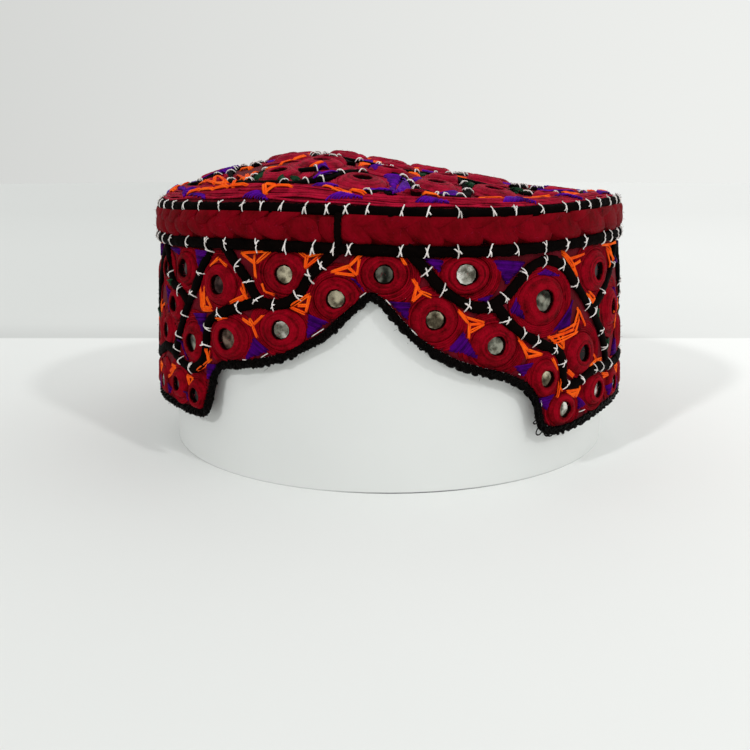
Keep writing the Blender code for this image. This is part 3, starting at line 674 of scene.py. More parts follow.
def edging_line():
    """Closed centre line of the edging, laid out flat, over one whole turn."""
    points = on_wall([*FRONT_EDGE, *((turn, BACK_EDGE_DROP) for turn in BACK_EDGE_TURNS)])
    padded = np.vstack([points[-2:] - WHOLE_TURN, points, points[:2] + WHOLE_TURN])
    line = spaced(smooth_line(padded), LINE_STEP)
    start = points[0, 0]
    inside = (line[:, 0] >= start) & (line[:, 0] < start + TURN_ARC)
    return line[inside]


def directions_round(line):
    """Directions along a flat line that closes after one whole turn."""
    before = np.vstack([line[-1:] - WHOLE_TURN, line[:-1]])
    after = np.vstack([line[1:], line[:1] + WHOLE_TURN])
    return unit(after - before)


def shifted(line, inset):
    """A closed flat line moved to its upper side."""
    return line - left_of(directions_round(line)) * inset


# Meshes


def add_object(name, data):
    """New object in the scene."""
    made = bpy.data.objects.new(name, data)
    bpy.context.scene.collection.objects.link(made)
    return made


class Soup:
    """Quads of many threads, gathered for one mesh, with each point's place on its thread."""

    def __init__(self):
        self.points = []
        self.quads = []
        self.strands = []
        self.count = 0

    def add(self, points, quads, strands):
        self.points.append(points.reshape(-1, 3))
        self.strands.append(strands.reshape(-1, 3))
        self.quads.append(quads + self.count)
        self.count += len(self.points[-1])

    def grid(self, points, wrap_rows, wrap_columns, strands=None):
        rows, columns = points.shape[:2]
        if strands is None:
            strands = np.zeros(points.shape)
        self.add(points, grid_quads(rows, columns, wrap_rows, wrap_columns), strands)

    def sweep(self, paths, normals, sections, closed=False):
        """Tubes: paths and normals are (tubes, points, 3), sections (tubes, points, sides, 2)."""
        tubes, length = paths.shape[:2]
        sections = np.broadcast_to(sections, (tubes, length, *sections.shape[-2:]))
        sides = sections.shape[2]
        if closed:
            tangent = unit(np.roll(paths, -1, 1) - np.roll(paths, 1, 1))
        else:
            tangent = unit(np.gradient(paths, axis=1))
        normal = unit(normals - (normals * tangent).sum(-1, keepdims=True) * tangent)
        side = np.cross(normal, tangent)
        points = (
            paths[:, :, None, :]
            + side[:, :, None, :] * sections[..., :1]
            + normal[:, :, None, :] * sections[..., 1:]
        )
        steps = np.linalg.norm(np.diff(paths, axis=1), axis=-1)
        along = np.concatenate([np.zeros((tubes, 1)), np.cumsum(steps, 1)], 1) / MM
        strands = np.zeros(points.shape)
        strands[..., 0] = along[:, :, None]
        strands[..., 1] = np.arange(sides) / sides
        strands[..., 2] = rng.random(tubes)[:, None, None]
        quads = tube_quads(length, sides, closed)
        offsets = np.arange(tubes)[:, None, None] * (length * sides)
        self.add(points, (quads[None] + offsets).reshape(-1, 4), strands)

    def threads(self, paths, normals, radius, sides=4, flatness=0.85, closed=False):
        """Round threads. The radius is one number, or one for each point of each path."""
        radius = np.broadcast_to(np.asarray(radius, float), paths.shape[:2])
        first = 0.0 if sides == 4 else 0.5
        angle = 2.0 * math.pi * (np.arange(sides) + first) / sides - math.pi / 2.0
        circle = np.stack([np.cos(angle), np.sin(angle) * flatness], -1)
        self.sweep(paths, normals, radius[..., None, None] * circle, closed)

    def lay(self, surface, flat, lift, radius, **options):
        """One round thread along flat places of a surface, at heights above it."""
        self.threads(surface.point(flat, lift)[None], surface.normal(flat)[None], radius, **options)

    def build(self, name, material, slot, *nodes):
        mesh = bpy.data.meshes.new(name)
        points = np.vstack(self.points)
        quads = np.vstack(self.quads)
        mesh.vertices.add(len(points))
        mesh.vertices.foreach_set("co", points.astype(np.float32).ravel())
        mesh.loops.add(quads.size)
        mesh.loops.foreach_set("vertex_index", quads.astype(np.int32).ravel())
        mesh.polygons.add(len(quads))
        mesh.polygons.foreach_set("loop_start", np.arange(0, quads.size, 4, dtype=np.int32))
        mesh.polygons.foreach_set("use_smooth", np.ones(len(quads), bool))
        strand = mesh.attributes.new("strand", "FLOAT_VECTOR", "POINT")
        strand.data.foreach_set("vector", np.vstack(self.strands).astype(np.float32).ravel())
        mesh.update(calc_edges=True)
        mesh.materials.append(material)
        piece = add_object(name, mesh)
        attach(piece, BODY)
        if nodes:
            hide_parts(*nodes)
        return piece


def grid_quads(rows, columns, wrap_rows, wrap_columns):
    row = np.arange(rows if wrap_rows else rows - 1)[:, None]
    column = np.arange(columns if wrap_columns else columns - 1)[None, :]
    next_row = (row + 1) % rows
    next_column = (column + 1) % columns
    corners = [(row, column), (row, next_column), (next_row, next_column), (next_row, column)]
    return np.stack([(r * columns + c).ravel() for r, c in corners], -1)


def tube_quads(length, sides, closed):
    quads = [grid_quads(length, sides, closed, True)]
    if not closed:
        half = np.arange(sides // 2 - 1)
        cap = np.stack([half, half + 1, sides - 2 - half, sides - 1 - half], -1)
        quads += [cap[:, ::-1], cap + (length - 1) * sides]
    return np.vstack(quads)


# Stitches


def envelope(lift):
    """The lowest taut line over each row of heights, as a thread bridges hollows."""
    taut = lift.copy()
    last = lift.shape[1]
    for start in range(last):
        for end in range(start + 2, last):
            for between in range(start + 1, end):
                share = (between - start) / (end - start)
                bridge = lift[:, start] + (lift[:, end] - lift[:, start]) * share
                taut[:, between] = np.maximum(taut[:, between], bridge)
    return taut


def stitch_paths(surface, starts, ends, thread, bow=0.0, puff=0.0, sink=0.5 * MM):
    """Paths of straight stitches that lie over whatever is raised on the surface."""
    t = np.linspace(0.0, 1.0, STITCH_POINTS)[None, :, None]
    flat = starts[:, None, :] * (1.0 - t) + ends[:, None, :] * t
    aside = unit(left_of(ends - starts))[:, None, :]
    arch = np.sin(math.pi * t)
    flat = flat + aside * arch * bow * rng.uniform(-1.0, 1.0, (len(starts), 1, 1))
    lift = envelope(surface.relief(flat)) + thread * 0.32
    lift = lift + puff * arch[..., 0]
    lift[:, 0] -= sink + thread * 0.3
    lift[:, -1] -= sink + thread * 0.3
    return surface.point(flat, lift), surface.normal(flat)


def add_stitches(soup, surface, starts, ends, thread, **options):
    paths, normals = stitch_paths(surface, starts, ends, thread, **options)
    swell = rng.uniform(0.88, 1.14, (len(starts), 1)) * np.ones(paths.shape[:2])
    soup.threads(paths, normals, thread / 2.0 * swell)


def runs_to_stitches(runs):
    starts = np.vstack([np.asarray(run)[:-1] for run in runs])
    ends = np.vstack([np.asarray(run)[1:] for run in runs])
    return starts, ends


def add_orange(soup, surface, runs, thread=ORANGE_THREAD):
    """Each stitch is a pair of threads side by side that overshoots its ends a little."""
    starts, ends = runs_to_stitches(runs)
    along = unit(ends - starts)
    for side in (-0.5, 0.5):
        shift = left_of(along) * thread * 0.55 * side
        jitter = rng.normal(0.0, 0.12 * MM, starts.shape)
        add_stitches(
            soup, surface, starts - along * 0.5 * MM + shift + jitter,
            ends + along * 0.5 * MM + shift - jitter, thread * 0.68, bow=0.15 * MM,
        )


def add_satin(soup, surface, patches):
    """Patches of side-by-side threads. Each thread runs across a triangle, parallel to its first side."""
    for corners in patches:
        first, second, third = (np.array(corner) for corner in corners)
        height = abs(np.cross(second - first, third - first)) / np.linalg.norm(second - first)
        count = max(3, round(height / (SATIN_THREAD * 0.72)))
        share = ((np.arange(count) + 0.35) / count)[:, None]
        starts = first * (1.0 - share) + third * share
        ends = second * (1.0 - share) + third * share
        ragged = rng.uniform(-0.35, 0.35, (2, count, 1)) * MM
        along = unit(ends - starts)
        add_stitches(
            soup, surface, starts + along * ragged[0], ends + along * ragged[1], SATIN_THREAD,
            puff=0.3 * MM, sink=0.3 * MM,
        )


def tick_strokes(side):
    """Strokes of one white stitch, some of them mirrored, with their ends moved a little."""
    strokes = TICK_STROKES[rng.integers(len(TICK_STROKES))]
    moved = np.array(strokes, float)
    moved[..., 0] *= side * rng.uniform(0.7, 1.2)
    moved[..., 0] += rng.uniform(-0.2, 0.2, moved.shape[:2])
    moved[..., 1] += rng.uniform(-0.12, 0.12, moved.shape[:2])
    return moved


def add_tick(soup, surface, center, along, width, side):
    """White stitch across a cord that is couched on a surface."""
    strokes = tick_strokes(side)
    places = center + along * strokes[..., :1] * MM + left_of(along) * strokes[..., 1:] * width / 2.0
    add_stitches(
        soup, surface, places[:, 0], places[:, 1], TICK_THREAD,
        bow=0.25 * MM, sink=0.15 * MM, puff=0.12 * MM,
    )


def cord_ticks(soup, surface, line, width, step, turns=None):
    """White stitches at even steps along a flat line, or along its part between two turns."""
    even = spaced(line, TICK_SAMPLE)
    skip = round(step / TICK_SAMPLE)
    for index in range(skip // 2, len(even) - 3, skip):
        index = int(np.clip(index + rng.integers(-2, 3), 2, len(even) - 3))
        along = unit(even[index + 2] - even[index - 2])
        if turns is None or turns[0] < even[index][0] / DEGREE_ARC < turns[1]:
            add_tick(soup, surface, even[index], along, width, rng.choice([-1.0, 1.0]))


def nearest_cord(lines, center):
    """The point of the lines that is nearest to a place, and the line's direction there."""
    best = None
    for line in lines:
        even = spaced(line, TICK_SAMPLE)
        gaps = np.linalg.norm(even - center, axis=1)
        index = int(np.clip(gaps.argmin(), 1, len(even) - 2))
        if best is None or gaps[index] < best[0]:
            best = (gaps[index], even[index], unit(even[index + 1] - even[index - 1]))
    return best[1], best[2]


def lattice_ticks(soup, surface, charted, front, back, *options):
    """White stitches at charted places of the front's cords, then at even steps along the back's."""
    for spot in charted:
        add_tick(soup, surface, *nearest_cord(front, spot), options[0], rng.choice([-1.0, 1.0]))
    for line in back:
        cord_ticks(soup, surface, line, *options)


# Rings


def neighbours(surface, ring, distance):
    """Other rings of the surface whose centres are near a ring's."""
    return [
        other for other in surface.rings
        if other is not ring and np.linalg.norm(other.center - ring.center) < distance
    ]


def ring_outline(surface, ring, angles):
    """How far a ring reaches along each spoke before cords, other rings or the cloth's edge."""
    direction, longest = ring.spokes(angles, surface.flip)
    near = neighbours(surface, ring, RING_NEAR)
    reach = longest.copy()
    open_way = np.ones(len(angles), bool)
    for share in np.linspace(0.5, 1.0, 16):
        places = ring.center + direction * (longest * share)[:, None]
        stopped = surface.blocked(places) | (surface.cord_distance(places) < CORD_WIDTH * RING_CLEARANCE)
        for other in near:
            stopped |= other.share(places) < np.minimum(1.0, ring.share(places))
        newly = open_way & stopped
        reach[newly] = longest[newly] * share
        open_way &= ~stopped
    for _ in range(2):
        reach = (np.roll(reach, 1) + 2.0 * reach + np.roll(reach, -1)) / 4.0
    return direction, reach


def add_ring(soup, surface, ring, sides):
    """Concentric threads that rise from the outline to a crest, then turn down to the mirror."""
    angles = 2.0 * math.pi * np.arange(sides) / sides
    direction, reach = ring_outline(surface, ring, angles)
    wobble = 1.0 + 0.05 * np.sin(3.0 * angles + rng.uniform(0, 6.3)) + rng.normal(0.0, 0.012, sides)
    lip = ring.mirror * LIP_SHARE * wobble
    crest = lip + RING_LIP
    count = max(3, round(float(np.mean(reach - crest)) / RING_THREAD))
    tones = rng.random(count + 4)
    # Columns: distance from the centre, height, place across the threads, tone, which on the rows that turn
    # down into the recess is painted shade.
    rows = []
    for step in range(count * THREAD_ROWS + 1):
        share = 1.0 - step / (count * THREAD_ROWS)
        ridge = abs(math.sin(math.pi * (step / THREAD_ROWS)))
        radius = crest + (reach - crest) * share
        lift = ring.crest * ring_profile(share) * (0.97 + 0.03 * np.sin(2 * angles + ring.center[0] * 900))
        lift = lift + (0.07 * ridge - 0.03) * MM + 0.05 * MM * np.sin(angles * 9 + step * 0.7)
        rows.append((radius, lift, step / THREAD_ROWS, tones[step // THREAD_ROWS]))
    base = 0.25 * MM
    for part in range(1, 6):
        turn_in = part / 5.0
        radius = crest + (lip - crest) * math.sin(turn_in * math.pi / 2.0)
        lift = ring.crest - (ring.crest - base) * turn_in ** 1.8
        lift = lift + 0.05 * MM * math.sin(part * 2.4) * np.ones(sides)
        # The rows that turn down to the mirror get painted shade, darker the deeper they go.
        tone = tones[count - 1] if part == 1 else RECESS_SHADE_TONE * (part - 1) / 2.0
        rows.append((radius, lift, count + part, tone))
    under = np.full(sides, -0.5 * MM)
    rows += [(lip * 0.9, under, count + 6, RECESS_SHADE_TONE), (reach, under, 0.0, 0.3)]
    radii, lifts, phases, row_tones_and_shade = (np.array(column) for column in zip(*rows))
    points = surface.point(ring.center + direction * radii[..., None], lifts)
    marks = np.zeros(points.shape)
    marks[..., 0] = radii * angles / MM
    marks[..., 1] = phases[:, None] / 4.0
    marks[..., 2] = row_tones_and_shade[:, None]
    soup.grid(points, True, True, marks)


def add_ground(soup, surface):
    """Low threads that echo each ring's outline until they meet a neighbour, a cord or the edge."""
    angles = 2.0 * math.pi * np.arange(GROUND_SIDES) / GROUND_SIDES
    for ring in surface.rings:
        direction, reach = ring_outline(surface, ring, angles)
        others = neighbours(surface, ring, GROUND_NEAR)
        for loop in range(1, GROUND_LOOPS + 1):
            distance = reach + (loop - 0.45) * GROUND_THREAD
            places = ring.center + direction * distance[:, None]
            free = ~surface.blocked(places) & (surface.cord_distance(places) > CORD_WIDTH * GROUND_CLEARANCE)
            mine = (ring.share(places) - 1.0) * ring.half.mean()
            for other in others:
                theirs = (other.share(places) - 1.0) * other.half.mean()
                free &= (theirs > mine - 0.3 * MM) & (theirs > -0.2 * MM)
            for run in free_runs(free):
                if len(run) < 4:
                    continue
                lift = np.full(len(run), 0.25 * MM) + 0.1 * MM * rng.random()
                lift[0] = lift[-1] = -0.15 * MM
                soup.lay(surface, places[run % GROUND_SIDES], lift, GROUND_THREAD * 0.68, flatness=0.6)


def free_runs(free):
    """Runs of neighbouring places that are free, round a closed loop."""
    count = len(free)
    if free.all():
        return [np.arange(count + 1)]
    first = int(np.argmin(free))
    runs = []
    run = []
    for index in range(first, first + count + 1):
        if free[index % count]:
            run.append(index)
        elif run:
            runs.append(np.array(run))
            run = []
    return runs


def add_mirror_disc(soup, surface, ring):
    """Small mirror cut by hand, a flat disc with a slightly uneven outline."""
    sides = 14
    angles = 2.0 * math.pi * np.arange(sides) / sides
    radius = ring.mirror * (1.0 + rng.normal(0.0, 0.02, sides))
    offsets = np.stack([np.cos(angles), surface.flip * np.sin(angles)], -1) * radius[:, None]
    center = surface.point(ring.center, 0.0)
    normal = surface.normal(ring.center)
    outline = surface.point(ring.center + offsets, np.zeros(sides))
    outline = outline - ((outline - center) @ normal)[:, None] * normal
    middle = outline.mean(0)
    hub = middle + (outline - middle) * 0.02
    rows = [(outline, 0.36), (outline, 1.16), (hub, 1.16), (hub, 0.36)]
    soup.grid(np.stack([line + normal * height * MM for line, height in rows]), True, True)


# Cords


def bundle_section(width, height, along, strands=5, pitch=13.0 * MM):
    """Outline of a bundle of twisted strands at each place along it: (points, sides, 2)."""
    sides = 12
    angle = 2.0 * math.pi * (np.arange(sides) + 0.5) / sides - math.pi / 2.0
    phase = along[:, None] / pitch * 2.0 * math.pi
    groove = 0.89 + 0.2 * np.abs(np.sin(strands * (angle[None, :] + phase) / 2.0))
    x = width / 2.0 * np.cos(angle) * groove
    y = height / 2.0 * np.sin(angle) * groove
    return np.stack([x, y], -1)


def add_cord(soup, surface, line, width=CORD_WIDTH, height=CORD_HEIGHT):
    even = spaced(line, LINE_STEP)
    along = np.arange(len(even)) * LINE_STEP
    uneven = 1.0 + 0.06 * np.sin(along / (5.1 * MM)) + 0.05 * np.sin(along / (2.3 * MM) + 1.0)
    uneven = uneven + 0.05 * np.sin(along / (0.83 * MM) + 2.0)
    section = bundle_section(width, height, along) * uneven[:, None, None]
    path = surface.point(even, np.full(len(even), height * 0.42))
    soup.sweep(path[None], surface.normal(even)[None], section[None])


def add_ring_cord(soup, drop, radius, width, height, tilt):
    """Cord that goes all the way round, leaning out by a tilt in degrees from level."""
    index = np.arange(CORD_PLACES)
    turn = index * 360.0 / CORD_PLACES
    along = index * TURN_ARC / CORD_PLACES
    path = place(turn, drop, radius)
    angle = np.radians(turn)
    normal = spoke(turn, math.radians(tilt))
    uneven = 1.0 + 0.05 * np.sin(14.0 * angle) + 0.05 * np.sin(37.0 * angle + 1.0)
    uneven = uneven + 0.05 * np.sin(101.0 * angle)
    section = bundle_section(width, height, along, pitch=TURN_ARC / CORD_TWISTS) * uneven[:, None, None]
    soup.sweep(path[None], normal[None], section[None], closed=True)


def ring_cord_tick(soup, turn, side, middle, span, drop, radius, width, height):
    """White stitch wrapped over a round cord, a span of angle either way from a middle above level."""
    t = np.linspace(0.0, 1.0, 7)
    for start, end in tick_strokes(side):
        along, across = start[:, None] * (1.0 - t) + end[:, None] * t
        over = np.clip(across, -1.0, 1.0)
        around = np.radians(middle + span * over)
        beyond = 1.8 * MM * (across - over)
        turns = turn + along * MM / DEGREE_ARC
        grow = 0.36 * MM * np.clip(np.sin(math.pi * t) * 5.0, 0.0, 1.0) - 0.05 * MM
        out = (height / 2.0 + grow) * np.cos(around)
        up = (width / 2.0 + grow) * np.sin(around) + beyond
        path = place(turns, drop - up, radius + out)
        soup.threads(path[None], spoke(turns, around)[None], TICK_THREAD / 2.0)


# Materials


class Nodes:
    """Shorthand for building a tree of nodes, such as a new material's."""

    def __init__(self, name, owner=None):
        self.owner = owner or bpy.data.materials.new(name)
        self.owner.use_nodes = True
        self.tree = self.owner.node_tree

    def node(self, kind, inputs=None, **settings):
        made = self.tree.nodes.new(kind)
        for key, value in settings.items():
            setattr(made, key, value)
        for key, value in (inputs or {}).items():
            self.put(made, key, value)
        return made

    def put(self, node, key, value):
        """Link an output to a node's input, or set the input to a constant."""
        if isinstance(value, bpy.types.NodeSocket):
            self.tree.links.new(value, node.inputs[key])
        else:
            node.inputs[key].default_value = value

    def shader(self, **inputs):
        """Inputs of the material's shader, with _ for the spaces in their names."""
        for key, value in inputs.items():
            self.put(self.tree.nodes["Principled BSDF"], key.replace("_", " "), value)

    def place(self):
        return self.node("ShaderNodeTexCoord").outputs["Object"]

    def split(self, vector):
        return self.node("ShaderNodeSeparateXYZ", {"Vector": vector}).outputs

    def noise(self, where, scale, detail, roughness=0.5):
        inputs = {"Vector": where, "Scale": scale, "Detail": detail, "Roughness": roughness}
        return self.node("ShaderNodeTexNoise", inputs).outputs["Fac"]

    def math(self, operation, *values):
        return self.node("ShaderNodeMath", dict(enumerate(values)), operation=operation).outputs[0]

    def vector(self, operation, *values):
        made = self.node("ShaderNodeVectorMath", dict(enumerate(values)), operation=operation)
        return made.outputs["Value" if operation == "DOT_PRODUCT" else "Vector"]

    def span(self, value, start, end, low, high):
        """The value's place between start and end, turned into one between low and high."""
        inputs = {"Value": value, "From Min": start, "From Max": end, "To Min": low, "To Max": high}
        return self.node("ShaderNodeMapRange", inputs).outputs[0]

    def mix(self, factor, first, second, **settings):
        inputs = {"Factor": factor, 6: first, 7: second}
        return self.node("ShaderNodeMix", inputs, data_type="RGBA", **settings).outputs[2]

    def bump(self, strength, distance, height, **more):
        inputs = {"Strength": strength, "Distance": distance, "Height": height, **more}
        return self.node("ShaderNodeBump", inputs).outputs["Normal"]

    def greys(self, source, rows):
        """Colour ramp with grey stops, from columns of position and value."""
        made = self.node("ShaderNodeValToRGB", {"Fac": source})
        stops = made.color_ramp.elements
        for position, value in rows[2:]:
            stops.new(position)
        for stop, (position, value) in zip(stops, rows):
            stop.position = position
            stop.color = (value, value, value, 1.0)
        return made.outputs["Color"]

    def ramp(self, source, low, high, start=0.3, end=0.7, deep=None):
        made = self.node("ShaderNodeValToRGB", {"Fac": source})
        stops = made.color_ramp.elements
        stops[0].position, stops[0].color = start, (*low, 1.0)
        stops[1].position, stops[1].color = end, (*high, 1.0)
        if deep:
            stops.new(0.0).color = (*deep, 1.0)
        return made.outputs["Color"]


def make_thread(name, dark, light, roughness, sheen, specular, streak=0.7, fleck=0.0):
    """Spun thread: uneven colour, streaks and a twist along the strand, and fine loose fibre; a tone mark
    below zero is painted shade.
    """
    nodes = Nodes(name)
    where = nodes.place()
    strand = nodes.node("ShaderNodeAttribute", attribute_name="strand").outputs["Vector"]
    along, around, dye_and_shade = nodes.split(strand)
    streaks = nodes.noise(nodes.vector("MULTIPLY", strand, (0.3, 14.0, 37.0)), 1.0, 2.0)
    patches = nodes.noise(where, 260.0, 3.0)
    tone = nodes.math("MULTIPLY_ADD", dye_and_shade, 0.35, patches)
    tone = nodes.math("MULTIPLY_ADD", streaks, streak, tone)
    tone = nodes.math("MULTIPLY_ADD", nodes.noise(where, 1500.0, 2.0), fleck, tone)
    tone = nodes.math("SUBTRACT", tone, 0.18 + 0.5 * (streak + fleck))
    # The darkest stop is mostly for painted shade: strands marked below zero, deep in rings and under the
    # braid's lobes.
    deep = [0.06 * value for value in dark]
    turns = nodes.math("MULTIPLY", along, 5.5)
    twist = nodes.math("SINE", nodes.math("MULTIPLY_ADD", around, 2.0 * math.pi, turns))
    height = nodes.math("MULTIPLY_ADD", twist, 0.125, nodes.noise(where, 2400.0, 4.0))
    height = nodes.math("MULTIPLY_ADD", streaks, 1.2, height)
    nodes.shader(
        Base_Color=nodes.ramp(tone, dark, light, 0.25, 0.75, deep),
        Normal=nodes.bump(0.5, 0.22 * MM, height),
        Roughness=nodes.span(patches, 0.0, 1.0, roughness - 0.08, roughness + 0.1),
        Sheen_Weight=sheen,
        Sheen_Roughness=0.35,
        Sheen_Tint=(*[min(1.0, 0.05 + 3.0 * value) for value in light], 1.0),
        Specular_IOR_Level=specular,
    )
    return nodes.owner


def make_mirror(name, low, high):
    """Old mirror glass whose colour is a painted reflection in two patchy tones, a little cloudy, with
    specks where the silver is gone.
    """
    nodes = Nodes(name)
    where = nodes.place()
    cloud = nodes.noise(where, 420.0, 5.0, 0.7)
    # Painted reflection: two tones in broad patches, from the darker to the paler.
    reflection_tones = nodes.ramp(nodes.noise(where, 210.0, 1.0), low, high, 0.4, 0.6)
    dim = nodes.ramp(cloud, (0.3, 0.29, 0.27), (1.0, 1.0, 1.0), 0.38, 0.56)
    nodes.shader(
        Base_Color=nodes.mix(1.0, reflection_tones, dim, blend_type="MULTIPLY"),
        Roughness=nodes.span(cloud, 0.0, 1.0, 0.3, 0.06),
        Metallic=1.0,
        Normal=nodes.bump(0.35, 0.1 * MM, nodes.noise(where, 230.0, 2.0)),
    )
    return nodes.owner


def make_card(name):
    """Smooth matt white card with a faint grain, and a painted contact shadow: a thin dark line along its
    foot.
    """
    nodes = Nodes(name)
    where = nodes.place()
    color = nodes.ramp(nodes.noise(where, 14.0, 2.0), (0.70, 0.715, 0.70), (0.74, 0.755, 0.74))
    x, y, z = nodes.split(where)
    # Painted contact shadow: a thin dark line at the foot, stronger at some places along X than at others.
    foot = nodes.span(z, 0.15 * MM, 0.5 * MM, 1.0, 0.0)
    line = nodes.greys(nodes.span(x, -0.1, 0.1, 0.0, 1.0), FOOT_CONTACT_SHADOW)
    round_normal = nodes.vector("NORMALIZE", nodes.vector("MULTIPLY", where, (1.0, 1.0, 0.0)))
    flat_normal = nodes.node("ShaderNodeNewGeometry").outputs["True Normal"]
    facing = nodes.vector("DOT_PRODUCT", round_normal, flat_normal)
    outside = nodes.math("GREATER_THAN", facing, 0.9)
    smooth = nodes.node(
        "ShaderNodeMix", {"Factor": outside, 4: flat_normal, 5: round_normal}, data_type="VECTOR"
    ).outputs[1]
    nodes.shader(
        Base_Color=nodes.mix(nodes.math("MULTIPLY", line, foot), color, (0.04, 0.04, 0.045, 1.0)),
        Roughness=0.55,
        Normal=nodes.bump(0.12, 0.1 * MM, nodes.noise(where, 900.0, 4.0), Normal=smooth),
    )
    return nodes.owner


def make_cloth(name):
    """Closely stitched ground cloth under the embroidery."""
    nodes = Nodes(name)
    where = nodes.place()
    patches = nodes.noise(where, 180.0, 3.0)
    inputs = {"Vector": where, "Scale": 420.0, "Distortion": 1.2, "Detail": 2.0}
    weave = nodes.node("ShaderNodeTexWave", inputs)
    nodes.shader(
        Base_Color=nodes.ramp(patches, (0.07, 0.001, 0.004), (0.15, 0.002, 0.010)),
        Normal=nodes.bump(0.5, 0.15 * MM, weave.outputs["Fac"]),
        Roughness=0.8,
        Specular_IOR_Level=0.1,
    )
    return nodes.owner


# Columns: darkest and lightest colour, roughness, sheen, specular level, and where they aren't the usual
# ones, how much it is streaked and flecked.
CRIMSON = make_thread(
    "crimson_thread", (0.10, 0.0005, 0.0025), (0.275, 0.001, 0.009), 0.6, 0.0, 0.02, 0.4, 0.6,
)
# The crown's crimson is lighter and pinker than the wall's: painted light from above.
CROWN_LIT_CRIMSON = make_thread(
    "crown_thread", (0.14, 0.001, 0.008), (0.42, 0.006, 0.033), 0.6, 0.1, 0.03, 0.5, 0.5,
)
BRAID = make_thread(
    "crimson_braid", (0.10, 0.0004, 0.002), (0.19, 0.0006, 0.006), 0.55, 0.0, 0.02, 0.5, 0.2,
)
FIBRE_CRIMSON = make_thread("crimson_fibre", (0.16, 0.002, 0.012), (0.36, 0.012, 0.05), 0.6, 0.3, 0.03)
BLACK = make_thread("black_thread", (0.0006, 0.0003, 0.0002), (0.0024, 0.0011, 0.0008), 0.7, 0.0, 0.015)
EDGING_BLACK = make_thread(
    "edging_thread", (0.0005, 0.0003, 0.0002), (0.0020, 0.0012, 0.0010), 0.28, 0.0, 0.03,
)
ORANGE = make_thread("orange_thread", (0.85, 0.065, 0.003), (1.0, 0.15, 0.008), 0.6, 0.0, 0.05)
PURPLE = make_thread("purple_thread", (0.018, 0.0004, 0.045), (0.075, 0.001, 0.18), 0.6, 0.0, 0.02)
PALE_PURPLE = make_thread("crown_purple", (0.035, 0.0008, 0.13), (0.13, 0.002, 0.38), 0.6, 0.0, 0.05)
GREEN = make_thread("green_thread", (0.005, 0.024, 0.010), (0.016, 0.07, 0.03), 0.6, 0.0, 0.03)
WHITE = make_thread("white_thread", (0.70, 0.65, 0.61), (0.93, 0.88, 0.86), 0.6, 0.0, 0.1)
MIRRORS = {
    "p": make_mirror("pale_mirror", (0.22, 0.21, 0.17), (0.72, 0.71, 0.65)),
    "t": make_mirror("tan_mirror", (0.11, 0.09, 0.06), (0.55, 0.49, 0.35)),
    "g": make_mirror("grey_mirror", (0.035, 0.038, 0.03), (0.26, 0.26, 0.21)),
    "m": make_mirror("umber_mirror", (0.03, 0.018, 0.012), (0.19, 0.13, 0.10)),
    "d": make_mirror("brown_mirror", (0.022, 0.008, 0.008), (0.08, 0.045, 0.04)),
    "b": make_mirror("black_mirror", (0.006, 0.003, 0.003), (0.03, 0.02, 0.018)),
}
CARD = make_card("white_card")
CLOTH = make_cloth("ground_cloth")


# Layout of the wall


EDGING = edging_line()
EDGE = shifted(EDGING, EDGING_THICKNESS / 2.0 + GAP)
EDGE_TREE = point_tree(np.vstack([EDGE, EDGE + WHOLE_TURN, EDGE - WHOLE_TURN]))


def edge_drop(arc):
    """Drop of the wall's lower edge at an arc, as the highest of its line there."""
    start = EDGE[0, 0]
    order = np.argsort(EDGE[:, 0])
    return np.interp((arc - start) % TURN_ARC + start, EDGE[order, 0], EDGE[order, 1])


def wall_blocked(flat):
    """True above the lower cord and at or below the cloth's edge."""
    top_limit = LOWER_CORD_DROP + 1.6 * MM
    return (
        (flat[..., 1] < top_limit) | (distances(EDGE_TREE, flat) < 0.3 * MM)
        | (flat[..., 1] > edge_drop(flat[..., 0]) + 0.2 * MM)
    )


def wall_base(flat):
    return np.full(flat.shape[:-1], 0.4 * MM)


wall = Surface(wall_point, wall_normal, -1.0, wall_blocked, wall_base)


def add_wall_ring(turn, drop, half_width, half_height, mirror, **options):
    """Ring at a turn in degrees, with its drop and sizes in millimetres."""
    wall.rings.append(Ring(on_wall([turn, drop]), (half_width, half_height), mirror, **options))


def back_peaks():
    """Turns of the peaks of the back's zigzag cord."""
    first = BACK_FIRST_TURN - REPEAT_TURN / 2.0
    return [first + REPEAT_TURN * index for index in range(BACK_REPEATS + 1)]


def tree_of(lines, *shifts):
    """Tree of the points of some flat lines, and of the same points shifted."""
    points = np.vstack([spaced(line, CORD_SAMPLE) for line in lines])
    return point_tree(np.vstack([points, *(points + shift for shift in shifts)]))


